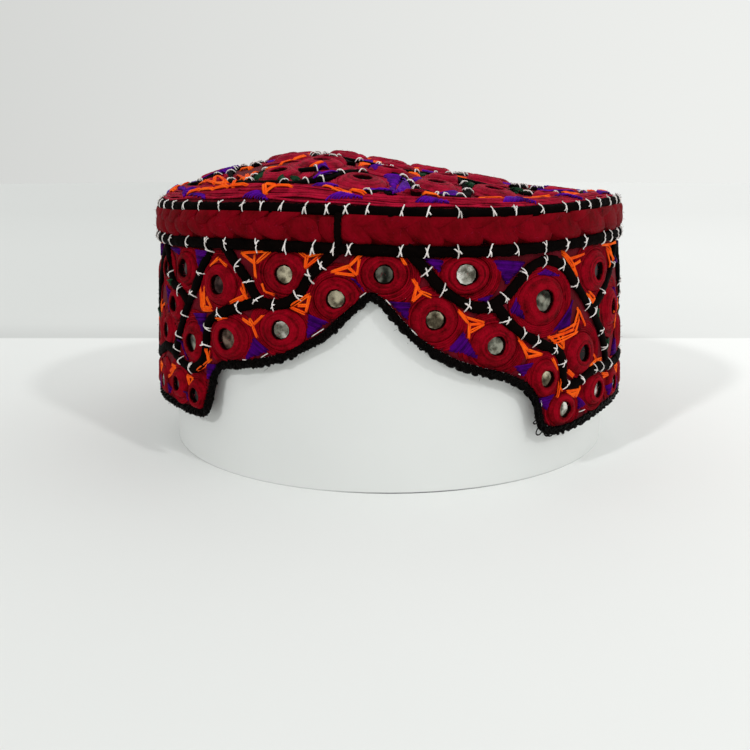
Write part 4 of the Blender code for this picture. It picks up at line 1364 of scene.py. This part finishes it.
def lay_out_wall():
    """Rings and cords of the side wall, as flat places."""
    for row in FRONT_RINGS:
        add_wall_ring(*row, has_solid=True)
    for index in range(BACK_REPEATS):
        add_wall_ring(BACK_FIRST_TURN + REPEAT_TURN * index, *BACK_RING, has_solid=True)
    *peaks, last_peak = back_peaks()
    for peak in peaks:
        for number, (offset, *row) in enumerate(BACK_MEDIUM_RINGS):
            if peak > peaks[0] or number > 0:
                add_wall_ring(peak + offset, *row)
    for turn in np.linspace(HEM_RING_FIRST, HEM_RING_LAST, HEM_RINGS + 1):
        add_wall_ring(turn, *HEM_RING, crest=SMALL_RING_CREST)
    for ring in wall.rings:
        ring.crest *= side_share(ring.center[0] / DEGREE_ARC)
    lines = [smooth_line(on_wall(points)) for points in FRONT_CORDS]
    back = []
    zigzag = []
    for peak in peaks:
        valley = peak + REPEAT_TURN / 2.0
        zigzag += [(peak, BACK_PEAK), (peak + 3.2, BACK_PEAK + 4.0), (valley - 3.0, BACK_VALLEY - 5.0)]
        zigzag += [(valley, BACK_VALLEY), (valley + 3.0, BACK_VALLEY - 5.0)]
        zigzag += [(peak + REPEAT_TURN - 3.2, BACK_PEAK + 4.0)]
        back.append(on_wall([(valley, BACK_VALLEY), (valley, BACK_BOTTOM)]))
    zigzag.append((last_peak, BACK_PEAK))
    bottom = [(peaks[0], BACK_BOTTOM), (90.0, 59.8), (140.0, 59.2), (190.0, 59.8), (240.0, 59.2)]
    bottom += [(285.0, 59.2), (294.0, 57.0), (last_peak, 52.4)]
    back += [smooth_line(on_wall(zigzag)), smooth_line(on_wall(bottom))]
    wall.cords = tree_of([*lines, *back], WHOLE_TURN, -WHOLE_TURN)
    return lines, back


FRONT_LINES, BACK_LINES = lay_out_wall()


def repeated(chart):
    """The back's chart at each of its repeats, as flat places."""
    return [
        on_wall([(peak + offset, drop) for offset, drop in places])
        for peak in back_peaks()[:-1] for places in chart
    ]


def hem_fills():
    """Small patches between the rings of the lowest row: purple below and orange above."""
    pitch = (HEM_RING_LAST - HEM_RING_FIRST) / HEM_RINGS
    purple = []
    orange = []
    for index in range(HEM_RINGS):
        middle = HEM_RING_FIRST + pitch * (index + 0.5)
        purple.append(on_wall([(middle - 1.6, 71.4), (middle + 1.6, 71.4), (middle, 66.6)]))
        corners = [(middle - 2.0, 62.2), (middle + 2.0, 62.2), (middle, 65.6), (middle - 2.0, 62.2)]
        orange.append(on_wall(corners))
    return purple, orange


# Layout of the crown


def crown_blocked(flat):
    """True on the border round the crown's edge."""
    return np.hypot(flat[..., 0], flat[..., 1]) > (BORDER_FROM - 0.4) * MM


def crown_base(flat):
    """Height of the lowest threads: the border's lie higher."""
    return np.where(crown_blocked(flat), 1.05 * MM, 0.45 * MM)


crown = Surface(crown_point, crown_normal, 1.0, crown_blocked, crown_base)


def in_front(turn):
    """True for turns of the crown that the front's chart covers."""
    return FRONT_SECTOR[0] < half_turned(turn) < FRONT_SECTOR[1]


def crown_ring_row(count, first, spare_front, reach, half_width, half_height, mirror):
    for index in range(count):
        turn = first + 360.0 * index / count
        if not (spare_front and in_front(turn)):
            crown.rings.append(Ring(on_crown(turn, reach), (half_width, half_height), mirror, turned=turn))


def crown_arc(reach, first, last):
    return on_crown(np.arange(first, last + 1.0, 2.0), reach)


def lay_out_crown():
    for x, y, half_width, half_height, mirror in CROWN_FRONT_RINGS:
        turned = math.degrees(math.atan2(x, -y))
        crown.rings.append(Ring((x * MM, y * MM), (half_width, half_height), mirror, turned=turned))
    for row in CROWN_RING_ROWS:
        crown_ring_row(*row)
    low, high = CROWN_ZIGZAG
    turns = []
    reaches = []
    for index in range(2, 8):
        turn = CROWN_FIRST_TURN + 40.0 * index
        turns += [turn - 5.6, turn, turn + 5.6, turn + 14.0, turn + 20.0, turn + 26.0]
        reaches += [low + 2.6, low, low + 2.6, high - 2.6, high, high - 2.6]
    zigzag = smooth_line(on_crown(turns[:-1], np.array(reaches[:-1])))
    front = [smooth_line(np.array(points) * MM) for points in CROWN_FRONT_CORDS]
    back = [zigzag, crown_arc(CROWN_ARC, 64.0, 294.0), crown_arc(CROWN_CIRCLE, 0.0, 360.0)]
    crown.cords = tree_of([*front, *back])
    return front, back


CROWN_FRONT_LINES, CROWN_BACK_LINES = lay_out_crown()


def crown_chart(rows, count, first, spare_front=True):
    """Places of one repeat, as columns of turn and distance, at each repeat round the crown."""
    made = []
    for index in range(count):
        shift = first + 360.0 * index / count
        if spare_front and in_front(shift):
            continue
        for places in rows:
            turns, reaches = np.array(places, float).T
            made.append(on_crown(turns + shift, reaches))
    return made


def crown_front(chart):
    return [np.array(places) * MM for places in chart]


CROWN_PURPLE = [
    *crown_front(CROWN_FRONT_PURPLE),
    *crown_chart(
        (((6.4, 78.5), (10.6, 66.0), (7.2, 62.0)), ((-6.4, 78.5), (-10.6, 66.0), (-7.2, 62.0)),
         ((-3.5, 80.0), (3.5, 80.0), (0.0, 78.0))), 9, CROWN_FIRST_TURN),
    *crown_chart((((-4.0, 49.5), (4.0, 49.5), (0.0, 43.0)),), 12, 20.0),
    *crown_chart((((-8.0, 28.0), (8.0, 28.0), (0.0, 20.0)),), 6, 45.0, spare_front=False),
    *crown_chart((((-5.0, 86.6), (5.0, 88.4), (0.0, 84.0)),), BORDER_REPEATS, CROWN_FIRST_TURN),
]
CROWN_ORANGE = [
    *crown_front(CROWN_FRONT_ORANGE),
    *crown_chart(
        (((13.5, 59.6), (16.5, 58.4), (20.0, 57.8)), ((23.5, 58.4), (26.5, 59.6)),
         ((20.0, 56.8), (17.6, 60.4)), ((-12.2, 74.0), (-10.2, 79.6), (-14.4, 78.8), (-12.2, 74.0))),
        9, CROWN_FIRST_TURN),
    *crown_chart(
        (((-3.0, 34.5), (0.0, 39.5), (3.0, 34.5), (-3.0, 34.5)), ((0.0, 34.0), (0.0, 41.5))), 12, 20.0,
        spare_front=False),
    *crown_chart(
        (((-6.0, 12.5), (0.0, 17.0), (6.0, 12.5)), ((0.0, 9.6), (0.0, 18.5))), 6, 45.0, spare_front=False),
    *crown_chart(
        (((7.5, 84.2), (10.0, 86.4), (13.5, 85.8)), ((8.0, 83.4), (11.0, 85.0))),
        BORDER_REPEATS, CROWN_FIRST_TURN),
]
CROWN_GREEN = [
    *crown_front(CROWN_FRONT_GREEN),
    *crown_chart((((9.6, 79.8), (13.0, 80.2), (11.0, 76.4)),), 9, CROWN_FIRST_TURN),
]


# Pieces


def make_wall_cloth():
    """Ground cloth of the side wall, with its real thickness, down to its cut edge."""
    soup = Soup()
    rows = []
    for share in np.linspace(0.0, 1.0, CLOTH_ROWS):
        drop = WALL_TOP_DROP + (EDGE[:, 1] - WALL_TOP_DROP) * share
        rows.append(np.stack([EDGE[:, 0], drop], -1))
    outer = np.stack([wall_point(row, np.zeros(len(row))) for row in rows])
    inner = np.stack([wall_point(row, np.full(len(row), -WALL_THICKNESS)) for row in reversed(rows)])
    soup.grid(np.concatenate([outer, inner])[:, ::-1], True, True)
    return soup.build("wall_cloth", CLOTH, "crimson_cloth", "side_wall")


def make_crown_cloth():
    """Ground cloth of the crown, with its real thickness and its rim."""
    soup = Soup()
    turns = np.arange(0.0, 360.0, CROWN_STEP)
    reaches = np.concatenate([np.linspace(0.5, 84.0, CROWN_ROWS), [86.0, 87.6, 88.8, 89.6, 90.0]])
    flats = np.stack([on_crown(turns, reach) for reach in reaches])
    top = crown_point(flats)
    rim = place(turns, CROWN_RIM_DROP, CROWN_RADIUS)[None]
    low_rim = place(turns, CROWN_RIM_DROP, CROWN_RADIUS - CROWN_THICKNESS)[None]
    under = flats[::-1] * (CROWN_RADIUS - CROWN_THICKNESS) / CROWN_RADIUS
    bottom = np.stack([under[..., 0], under[..., 1], crown_height(under[..., 0], under[..., 1])], -1)
    bottom[..., 2] -= CROWN_THICKNESS
    soup.grid(np.concatenate([top, rim, low_rim, bottom])[::-1], True, True)
    return soup.build("crown_cloth", CLOTH, "crimson_cloth", "crown")


def make_rings():
    """Rings of wound thread, in three pieces."""
    front, back, top = Soup(), Soup(), Soup()
    for ring in wall.rings:
        if ring.center[0] / DEGREE_ARC < FRONT_END:
            add_ring(front, wall, ring, FRONT_SIDES)
        else:
            add_ring(back, wall, ring, BACK_SIDES)
    for ring in crown.rings:
        add_ring(top, crown, ring, CROWN_SIDES)
    front.build("wall_rings_front", CRIMSON, "crimson_cloth")
    back.build("wall_rings_back", CRIMSON, "crimson_cloth")
    top.build("crown_rings", CROWN_LIT_CRIMSON, "crimson_cloth")


def make_ground():
    """Low threads between the rings, and the border's threads round the crown's edge."""
    low = Soup()
    add_ground(low, wall)
    high = Soup()
    add_ground(high, crown)
    turns = np.arange(0.0, 360.0, BORDER_TURN)
    angle = np.radians(turns)
    for index, reach in enumerate(np.arange(BORDER_FROM, BORDER_TO, BORDER_STEP)):
        wander = 0.3 * np.sin(angle * (5 + index % 3) + index * 1.7)
        wander = wander + 0.22 * np.sin(angle * (17 + 3 * (index % 4)) + index)
        flat = on_crown(turns, reach + wander)
        lift = (0.55 + 0.18 * np.sin(angle * (9 + index % 4) + index)) * MM
        high.lay(crown, flat, lift, 0.6 * MM, flatness=0.5, closed=True)
    low.build("wall_ground_threads", CRIMSON, "crimson_cloth")
    high.build("crown_ground_threads", CROWN_LIT_CRIMSON, "crimson_cloth")


def dress(node, material):
    """Give a solid of the frame its material."""
    node.data.materials.clear()
    node.data.materials.append(material)


def make_mirrors():
    """Small mirrors as one new piece, and materials for the wall's solid ones."""
    soup = Soup()
    for surface in (wall, crown):
        for ring in surface.rings:
            if not ring.has_solid:
                add_mirror_disc(soup, surface, ring)
    # The wall's mirrors get materials with painted reflections, chosen mirror by mirror.
    for name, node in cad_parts.items():
        if name.startswith("wall_mirror"):
            dress(node, MIRRORS[MIRROR_REFLECTIONS[int(name.split("_")[-1]) - 1]])
    replaced = [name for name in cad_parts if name.startswith("crown_mirror")]
    soup.build("small_mirrors", MIRRORS["g"], "mirror_glass", *replaced)


TOP_CORD = {"drop": 0.1 * MM, "radius": 90.6 * MM, "width": 3.4 * MM, "height": 2.5 * MM}
LOWER_CORD = {
    "drop": LOWER_CORD_DROP + 0.2 * MM, "radius": 92.0 * MM, "width": 3.6 * MM, "height": 2.3 * MM,
}


def make_cords():
    """The two long cords, the lattice's cords and the seam over the band's ends."""
    top = Soup()
    add_ring_cord(top, tilt=30.0, **TOP_CORD)
    low = Soup()
    add_ring_cord(low, tilt=0.0, **LOWER_CORD)
    lattice = Soup()
    for line in (*FRONT_LINES, *BACK_LINES):
        add_cord(lattice, wall, line)
    crown_cords = Soup()
    for line in (*CROWN_FRONT_LINES, *CROWN_BACK_LINES):
        add_cord(crown_cords, crown, line, CROWN_CORD_WIDTH, CROWN_CORD_HEIGHT)
    seam = Soup()
    drops = np.linspace(BAND_TOP_DROP - 1.0 * MM, BAND_BOTTOM_DROP + 1.2 * MM, SEAM_PLACES)
    bulge = np.sin(np.linspace(0.0, math.pi, SEAM_PLACES))
    turns = np.full(SEAM_PLACES, BAND_SEAM_TURN)
    path = place(turns, drops, WALL_RADIUS + (0.9 + 1.6 * bulge) * MM)
    section = bundle_section(2.3 * MM, 1.9 * MM, drops, 3, 4.0 * MM)
    seam.sweep(path[None], spoke(turns)[None], section[None])
    top.build("top_cord_strands", BLACK, "black_cord", "top_cord")
    low.build("lower_cord_strands", BLACK, "black_cord", "lower_cord")
    lattice.build("wall_lattice_cords", BLACK, "black_cord")
    crown_cords.build("crown_lattice_cords", BLACK, "black_cord")
    seam.build("band_end_seam", BLACK, "black_cord", "band_seam")


def spread_turns(front, step, start, end):
    """Turns charted on the front, then evenly spread ones over the back."""
    count = round((end - start) / step)
    even = start + (np.arange(count) + 0.5) * (end - start) / count
    return [*front, *(even + rng.uniform(-0.6, 0.6, count))]


def make_ticks():
    """All the white stitches."""
    soup = Soup()
    for turn in spread_turns(TOP_TICKS, 5.9, 61.5, 298.5):
        leans_right = turn < 15.0 or turn > 200.0
        ring_cord_tick(soup, turn, 1.0 if leans_right else -1.0, 18.0, 70.0, **TOP_CORD)
    for turn in spread_turns(LOWER_TICKS, 6.1, 68.0, 298.5):
        ring_cord_tick(soup, turn, 1.0 if rng.random() < 0.8 else -1.0, 0.0, 76.0, **LOWER_CORD)
    lattice_ticks(
        soup, wall, on_wall(FRONT_TICKS), FRONT_LINES, BACK_LINES, CORD_WIDTH, TICK_STEP, BACK_TICK_TURNS,
    )
    lattice_ticks(
        soup, crown, np.array(CROWN_FRONT_TICKS) * MM, CROWN_FRONT_LINES, CROWN_BACK_LINES,
        CROWN_CORD_WIDTH, CROWN_TICK_STEP,
    )
    starts, ends = runs_to_stitches([on_wall(run) for run in FRONT_DASHES])
    add_stitches(soup, wall, starts, ends, DASH_THREAD, sink=0.25 * MM)
    soup.build("white_stitches", WHITE, "white_thread")


def make_color_stitches():
    """Orange stitches, and purple and green patches."""
    hem_purple, hem_orange = hem_fills()
    orange = Soup()
    add_orange(orange, wall, [on_wall(run) for run in FRONT_ORANGE])
    add_orange(orange, wall, repeated(BACK_ORANGE) + hem_orange)
    add_orange(orange, crown, CROWN_ORANGE, thread=1.35 * ORANGE_THREAD)
    purple = Soup()
    add_satin(purple, wall, [on_wall(patch) for patch in FRONT_PURPLE])
    add_satin(purple, wall, repeated(BACK_PURPLE) + hem_purple)
    crown_purple = Soup()
    add_satin(crown_purple, crown, CROWN_PURPLE)
    green = Soup()
    add_satin(green, wall, [on_wall(patch) for patch in FRONT_GREEN] + repeated(BACK_GREEN))
    add_satin(green, crown, CROWN_GREEN)
    orange.build("orange_stitches", ORANGE, "orange_thread")
    purple.build("purple_satin", PURPLE, "purple_thread")
    crown_purple.build("crown_purple_satin", PALE_PURPLE, "purple_thread")
    green.build("green_satin", GREEN, "green_thread")


# Hollows between the lobes of the plaited band across the front, as turns, and how many lobes lie behind.
PLAIT_HOLLOWS = (
    -70.5, -63.5, -56.4, -49.4, -42.6, -35.3, -28.9, -22.0, -15.0, -8.2, 1.5, 9.7, 16.1, 24.5, 32.5,
    41.5, 51.0, 62.5, 72.0,
)
PLAIT_BACK_LOBES = 28
# How the plait runs. Columns: turn, lean of the lobes from top to bottom as a share of their width,
# share of the band's height that the bundles from the upper edge take.
PLAIT_RUN = (
    (-90.0, 0.5, 0.6), (-60.0, 0.6, 0.58), (-29.0, 0.65, 0.56), (-12.0, 0.6, 0.52), (4.0, 0.45, 0.42),
    (20.0, 0.35, 0.38), (75.0, 0.35, 0.4), (110.0, 0.5, 0.55), (270.0, 0.5, 0.6),
)
PLAIT_THREADS = 9
LOBE_ROWS = 13
UPPER_ROWS = 9
BAND_HEIGHT = BAND_BOTTOM_DROP - BAND_TOP_DROP
# Shape of a lobe. Columns: share of the way down, width as a share of the lobe's pitch, height in mm.
PLAIT_SHAPE = (
    (0.0, 0.7, 0.5), (0.07, 0.92, 1.0), (0.2, 1.12, 1.4), (0.45, 1.24, 1.75), (0.7, 1.14, 1.75),
    (0.88, 0.84, 1.3), (1.0, 0.5, 0.3),
)
UPPER_SHAPE = ((0.0, 1.0, 0.9), (0.2, 1.05, 1.45), (0.5, 0.9, 1.5), (0.8, 0.7, 1.25), (1.0, 0.5, 0.8))


def add_bundle(soup, drop, middle, half, height):
    """Sheet of ridged satin threads that runs down the band. All but the soup are rows down it."""
    across = np.linspace(-1.0, 1.0, 2 * PLAIT_THREADS + 1)
    ridge = 0.08 * MM * (np.arange(len(across)) % 2)
    dome = np.clip(1.0 - np.abs(across) ** 2.2, 0.0, 1.0) ** 0.55
    turns = middle[:, None] + half[:, None] * across
    bend = 0.5 * MM * np.sin(np.linspace(0.0, math.pi, len(drop)))[:, None] * (1.0 - across ** 2)
    drops = drop[:, None] + bend
    base = WALL_RADIUS + 0.45 * MM
    outer = place(turns, drops, base + height[:, None] * dome + ridge)
    inner = place(turns[:, ::-1], drops[:, ::-1], base - 0.25 * MM + 0.0 * turns)
    sheet = np.concatenate([outer, inner], 1)
    marks = np.zeros(sheet.shape)
    marks[..., 0] = (drop / MM)[:, None]
    marks[..., 1] = np.arange(sheet.shape[1]) / len(across)
    marks[..., 2] = rng.uniform(0.1, 0.9)
    soup.grid(sheet, False, True, marks)


def read_chart(chart, places):
    """The further columns of a chart at places along its first column."""
    first, *others = np.array(chart).T
    return [np.interp(places, first, column) for column in others]


def plait_run(turn):
    """Lean of the lobes and share of the upper bundles at a turn."""
    return read_chart(PLAIT_RUN, (turn + 90.0) % 360.0 - 90.0)


def add_lobe(soup, left, right):
    """Bundle that crosses the band between two hollows of its lower edge, given as turns."""
    turn = (left + right) / 2.0
    pitch = right - left
    lean, share = plait_run(turn)
    lean = lean * pitch * rng.uniform(0.6, 1.3)
    t = np.linspace(0.0, 1.0, LOBE_ROWS)
    width, height = read_chart(PLAIT_SHAPE, t)
    height = height * MM * rng.uniform(0.86, 1.05)
    top = BAND_TOP_DROP + (share - 0.4) * BAND_HEIGHT - rng.uniform(0.1, 0.6) * MM
    bottom = BAND_BOTTOM_DROP + rng.uniform(0.2, 0.7) * MM
    middle = turn + lean * (t - 0.62) - 0.12 * pitch * np.sin(math.pi * t)
    add_bundle(soup, top + (bottom - top) * t, middle, width * pitch / 2.0, height)


def add_upper_bundle(soup, hollow, pitch):
    """Bundle that comes over the upper edge above a hollow and goes down behind the lobes."""
    lean, share = plait_run(hollow)
    t = np.linspace(0.0, 1.0, UPPER_ROWS)
    width, height = read_chart(UPPER_SHAPE, t)
    half = width * pitch * (0.3 + 0.35 * share)
    height = height * MM * rng.uniform(0.85, 1.05)
    top = BAND_TOP_DROP - 0.9 * MM
    bottom = BAND_TOP_DROP + share * BAND_HEIGHT
    middle = hollow + pitch * (0.1 - 0.62 * lean + (0.3 - t) * share)
    add_bundle(soup, top + (bottom - top) * t, middle, half, height)


def make_braid():
    """Plaited band as a row of overlapping lobes of satin thread, open where the seam covers its ends."""
    soup = Soup()
    start = BAND_SEAM_TURN + 0.9
    turns = np.linspace(start, start + 358.2, 300)
    rows = [(1.9, 0.3), (1.9, 0.75), (10.2, 0.75), (10.2, 0.3)]
    band = np.stack([place(turns, drop * MM, WALL_RADIUS + out * MM) for drop, out in rows])
    marks = np.zeros(band.shape)
    # The band under the lobes gets a low tone: painted shade where it shows between them.
    marks[..., 2] = -0.25
    soup.grid(band[::-1], True, False, marks)
    first, last = PLAIT_HOLLOWS[0] + 360.0, PLAIT_HOLLOWS[-1]
    behind = np.linspace(last, first, PLAIT_BACK_LOBES + 1)
    hollows = [*PLAIT_HOLLOWS, *behind[1:]]
    for left, right in zip(hollows, hollows[1:]):
        if left < BAND_SEAM_TURN < right:
            add_lobe(soup, left, BAND_SEAM_TURN)
            add_lobe(soup, BAND_SEAM_TURN, right)
        else:
            add_lobe(soup, left, right)
        if abs(half_turned(right - BAND_SEAM_TURN)) > 4.0:
            add_upper_bundle(soup, right, right - left)
    return soup.build("braid_strands", BRAID, "crimson_braid", "braid_band")


def uneven(count, step, size):
    """Smooth random values for places round a closed line, with a new one every step places."""
    knots = max(4, count // step)
    values = rng.normal(0.0, size, knots)
    return np.interp(np.arange(count) * knots / count, np.arange(knots + 1), [*values, values[0]])


def add_fibres(soup, points, normals, shortest, longest, spread):
    """Short loose fibres that stand off a surface and bend over. Their lengths are millimetres."""
    count = len(points)
    wild = unit(rng.normal(0.0, 1.0, (count, 3)))
    direction = unit(normals + wild * spread)
    bend = unit(rng.normal(0.0, 1.0, (count, 3)))
    length = rng.uniform(shortest, longest, (count, 1)) * MM
    t = np.array([0.0, 0.5, 1.0])[None, :, None]
    paths = points[:, None] + (direction * length)[:, None] * t + (bend * length * 0.55)[:, None] * t * t
    radius = FIBRE_RADIUS * np.array([1.0, 0.85, 0.5])
    soup.threads(paths, np.broadcast_to(wild[:, None], paths.shape), radius)


def sampled_wall(count, lowest, highest):
    """Random places between two turns of the wall where its embroidery lies."""
    turns = rng.uniform(lowest, highest, count)
    flat = on_wall(np.stack([turns, rng.uniform(13.0, 76.0, count)], -1))
    return flat[~wall_blocked(flat)]


def make_fibres():
    """Loose fibres on the wall, the crown, the band, the long cords and the edging."""
    crimson = Soup()
    black = Soup()
    reach = np.sqrt(rng.uniform(0.0, 1.0, CROWN_FIBRES)) * 89.0
    crown_flat = on_crown(rng.uniform(0.0, 360.0, CROWN_FIBRES), reach)
    samples = [(wall, sampled_wall(*row)) for row in WALL_FIBRES]
    for surface, flat in (*samples, (crown, crown_flat)):
        on_cord = surface.cord_distance(flat) < 2.0 * MM
        start = surface.point(flat, surface.relief(flat) - 0.15 * MM)
        normals = surface.normal(flat)
        add_fibres(crimson, start[~on_cord], normals[~on_cord], 0.4, 1.3, 1.8)
        add_fibres(black, start[on_cord], normals[on_cord], 0.3, 1.2, 1.8)
    turns = rng.uniform(0.0, 360.0, BAND_FIBRES)
    outward = spoke(turns)
    band = place(turns, rng.uniform(2.4, 9.8, len(turns)) * MM, WALL_RADIUS + 1.9 * MM)
    add_fibres(crimson, band, outward, 0.4, 1.3, 2.6)
    for drop, radius, up in ((-0.6, 91.6, 0.9), (11.9, 92.9, 0.0)):
        around = rng.uniform(-1.0, 1.0, len(turns))
        cord = place(turns, (drop + around * 1.2) * MM, radius * MM + 0.4 * MM * (1.0 - around ** 2))
        add_fibres(black, cord, outward + (0.0, 0.0, up), 0.3, 1.1, 2.0)
    picked = EDGING[rng.integers(0, len(EDGING), EDGING_FIBRES)]
    picked = picked + rng.uniform(-1.6, 1.6, picked.shape) * MM
    start = wall_point(picked, np.full(EDGING_FIBRES, -0.2 * MM))
    add_fibres(black, start, wall_normal(picked), 0.4, 1.3, 2.4)
    crimson.build("crimson_fibres", FIBRE_CRIMSON, "crimson_cloth")
    black.build("black_fibres", BLACK, "black_cord")


def make_edging():
    """Crocheted edging: three threads looped over each other, with small loops along the outer side."""
    soup = Soup()
    line = spaced(np.vstack([EDGING, EDGING[:1] + WHOLE_TURN]), EDGING_STEP)[:-1]
    count = len(line)
    length = count * EDGING_STEP
    along = directions_round(line)
    outward = left_of(along)
    loops = round(length / CROCHET_PITCH)
    phase = np.arange(count) / count * loops * 2.0 * math.pi + np.cumsum(uneven(count, 9, 0.05))
    phase -= (phase[-1] - loops * 2.0 * math.pi * (count - 1) / count) * np.arange(count) / count
    deep = np.full(count, -0.9 * MM)
    soup.lay(wall, line - outward * 0.5 * MM, deep, 1.15 * MM, sides=8, flatness=1.0, closed=True)
    for strand in range(3):
        swing = phase + strand * 2.0 * math.pi / 3.0
        offset = (1.08 * MM + uneven(count, 7, 0.2 * MM)) * np.sin(swing) - 0.5 * MM
        lift = 0.62 * MM * np.sin(2.0 * swing) + uneven(count, 5, 0.16 * MM) - 0.3 * MM
        radius = 0.66 * MM + uneven(count, 4, 0.05 * MM)
        flat = line + outward * offset[:, None]
        soup.lay(wall, flat, lift, radius, sides=6, flatness=0.95, closed=True)
    for index in np.arange(0, count, CROCHET_PITCH / EDGING_STEP).astype(int):
        if rng.random() < 0.25:
            continue
        index = (index + rng.integers(0, 3)) % count
        width = rng.uniform(0.5, 1.3) * MM
        t = np.linspace(0.0, math.pi, 7)
        reach = rng.uniform(0.0, 0.6) * MM
        flat = (
            line[index] + along[index] * (np.cos(t) * width)[:, None]
            + outward[index] * (0.6 * MM + np.sin(t) * reach)[:, None]
        )
        lift = rng.uniform(-0.9, 0.1) * MM + 0.3 * MM * np.cos(t)
        soup.lay(wall, flat, lift, rng.uniform(0.4, 0.6) * MM)
    for turn, drop, width, reach, lean in EDGING_LOOPS:
        t = np.linspace(-0.2, math.pi + 0.2, 15)
        turns = turn + (np.cos(t) * width + np.sin(t) * lean) * MM / DEGREE_ARC
        flat = np.stack([turns * DEGREE_ARC, (drop + np.sin(t) * reach) * MM], -1)
        lift = (0.5 * np.sin(2.0 * t) - 0.5) * MM
        soup.lay(wall, flat, lift, 0.27 * MM)
    return soup.build("crocheted_edging", EDGING_BLACK, "black_cord", "hem_edging")


wall_cloth = make_wall_cloth()
crown_cloth = make_crown_cloth()
make_rings()
make_ground()
make_cords()
make_ticks()
make_color_stitches()
braid = make_braid()
edging = make_edging()
make_fibres()
make_mirrors()
dress(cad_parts["stand_hoop"], CARD)


# Stage, light and camera


def make_floor():
    """Pale paper under the stand, with painted light that rises towards +X, and before the fold also away
    from the camera, the painted shade of a fold behind it, and painted shade far off.
    """
    bm = bmesh.new()
    bmesh.ops.create_circle(bm, cap_ends=True, segments=96, radius=4.0)
    mesh = bpy.data.meshes.new("floor")
    bm.to_mesh(mesh)
    bm.free()
    nodes = Nodes("pale_floor")
    where = nodes.place()
    mottle = nodes.span(nodes.noise(where, 6.0, 3.0), 0.0, 1.0, 0.4, 0.6)
    paper = []
    # Painted light: each tone rises towards +X, and before the fold also away from the camera.
    for rise, low, high in FLOOR_TONES_AND_LIGHT:
        tone = nodes.math("ADD", nodes.vector("DOT_PRODUCT", where, rise), mottle)
        paper.append(nodes.ramp(tone, low, high, 0.0, 1.0))
    depth = nodes.vector("DOT_PRODUCT", where, FOLD_DIRECTION)
    plain = nodes.mix(nodes.span(depth, *FOLD_PLACE, 0.0, 1.0), *paper)
    # Painted shade: a faint fold, most at the left, and a little darker far off.
    fold = nodes.greys(depth, FOLD_SHADE)
    painted_crease_shade = nodes.math("MULTIPLY", fold, nodes.span(nodes.split(where)["X"], *FOLD_SIDES))
    shade = nodes.math("ADD", painted_crease_shade, nodes.span(depth, *FAR_SHADE))
    nodes.shader(Base_Color=nodes.mix(shade, plain, SHADE_COLOR), Roughness=0.8)
    mesh.materials.append(nodes.owner)
    floor = add_object("floor", mesh)


def add_sun(name, slope, strength, softness):
    """Broad lamp that shines along a slope."""
    light = bpy.data.lights.new(name, "SUN")
    light.energy = strength
    light.angle = math.radians(softness)
    lamp = add_object(name, light)
    lamp.rotation_euler = Vector(slope).to_track_quat("-Z", "Y").to_euler()


def make_light():
    """Pale surroundings that are brightest near level, and two broad lamps above the front."""
    world = bpy.data.worlds.new("studio")
    nodes = Nodes("studio", world)
    where = nodes.node("ShaderNodeTexCoord").outputs["Generated"]
    backdrop = nodes.tree.nodes["Background"]
    nodes.put(backdrop, "Color", nodes.ramp(nodes.split(where)["Z"], WORLD_LEVEL, WORLD_ABOVE, 0.3, 0.62))
    toward = nodes.vector("DOT_PRODUCT", where, WORLD_BRIGHTER_TOWARD)
    nodes.put(backdrop, "Strength", nodes.math("ADD", toward, WORLD_MIDDLE))
    bpy.context.scene.world = world
    for row in LAMPS:
        add_sun(*row)


def make_camera():
    turn = math.radians(CAMERA_TURN)
    camera = add_object("camera", bpy.data.cameras.new("camera"))
    camera.location = (
        CAMERA_DISTANCE * math.sin(turn), -CAMERA_DISTANCE * math.cos(turn), SEAM_HEIGHT + CAMERA_RISE,
    )
    camera.rotation_euler = (math.pi / 2.0 - CAMERA_PITCH, 0.0, turn)
    camera.data.sensor_width = SENSOR
    camera.data.lens = LENS
    camera.data.shift_x = SHIFT_X
    bpy.context.scene.camera = camera


make_floor()
make_light()
make_camera()
bpy.context.scene.view_settings.view_transform = "Standard"
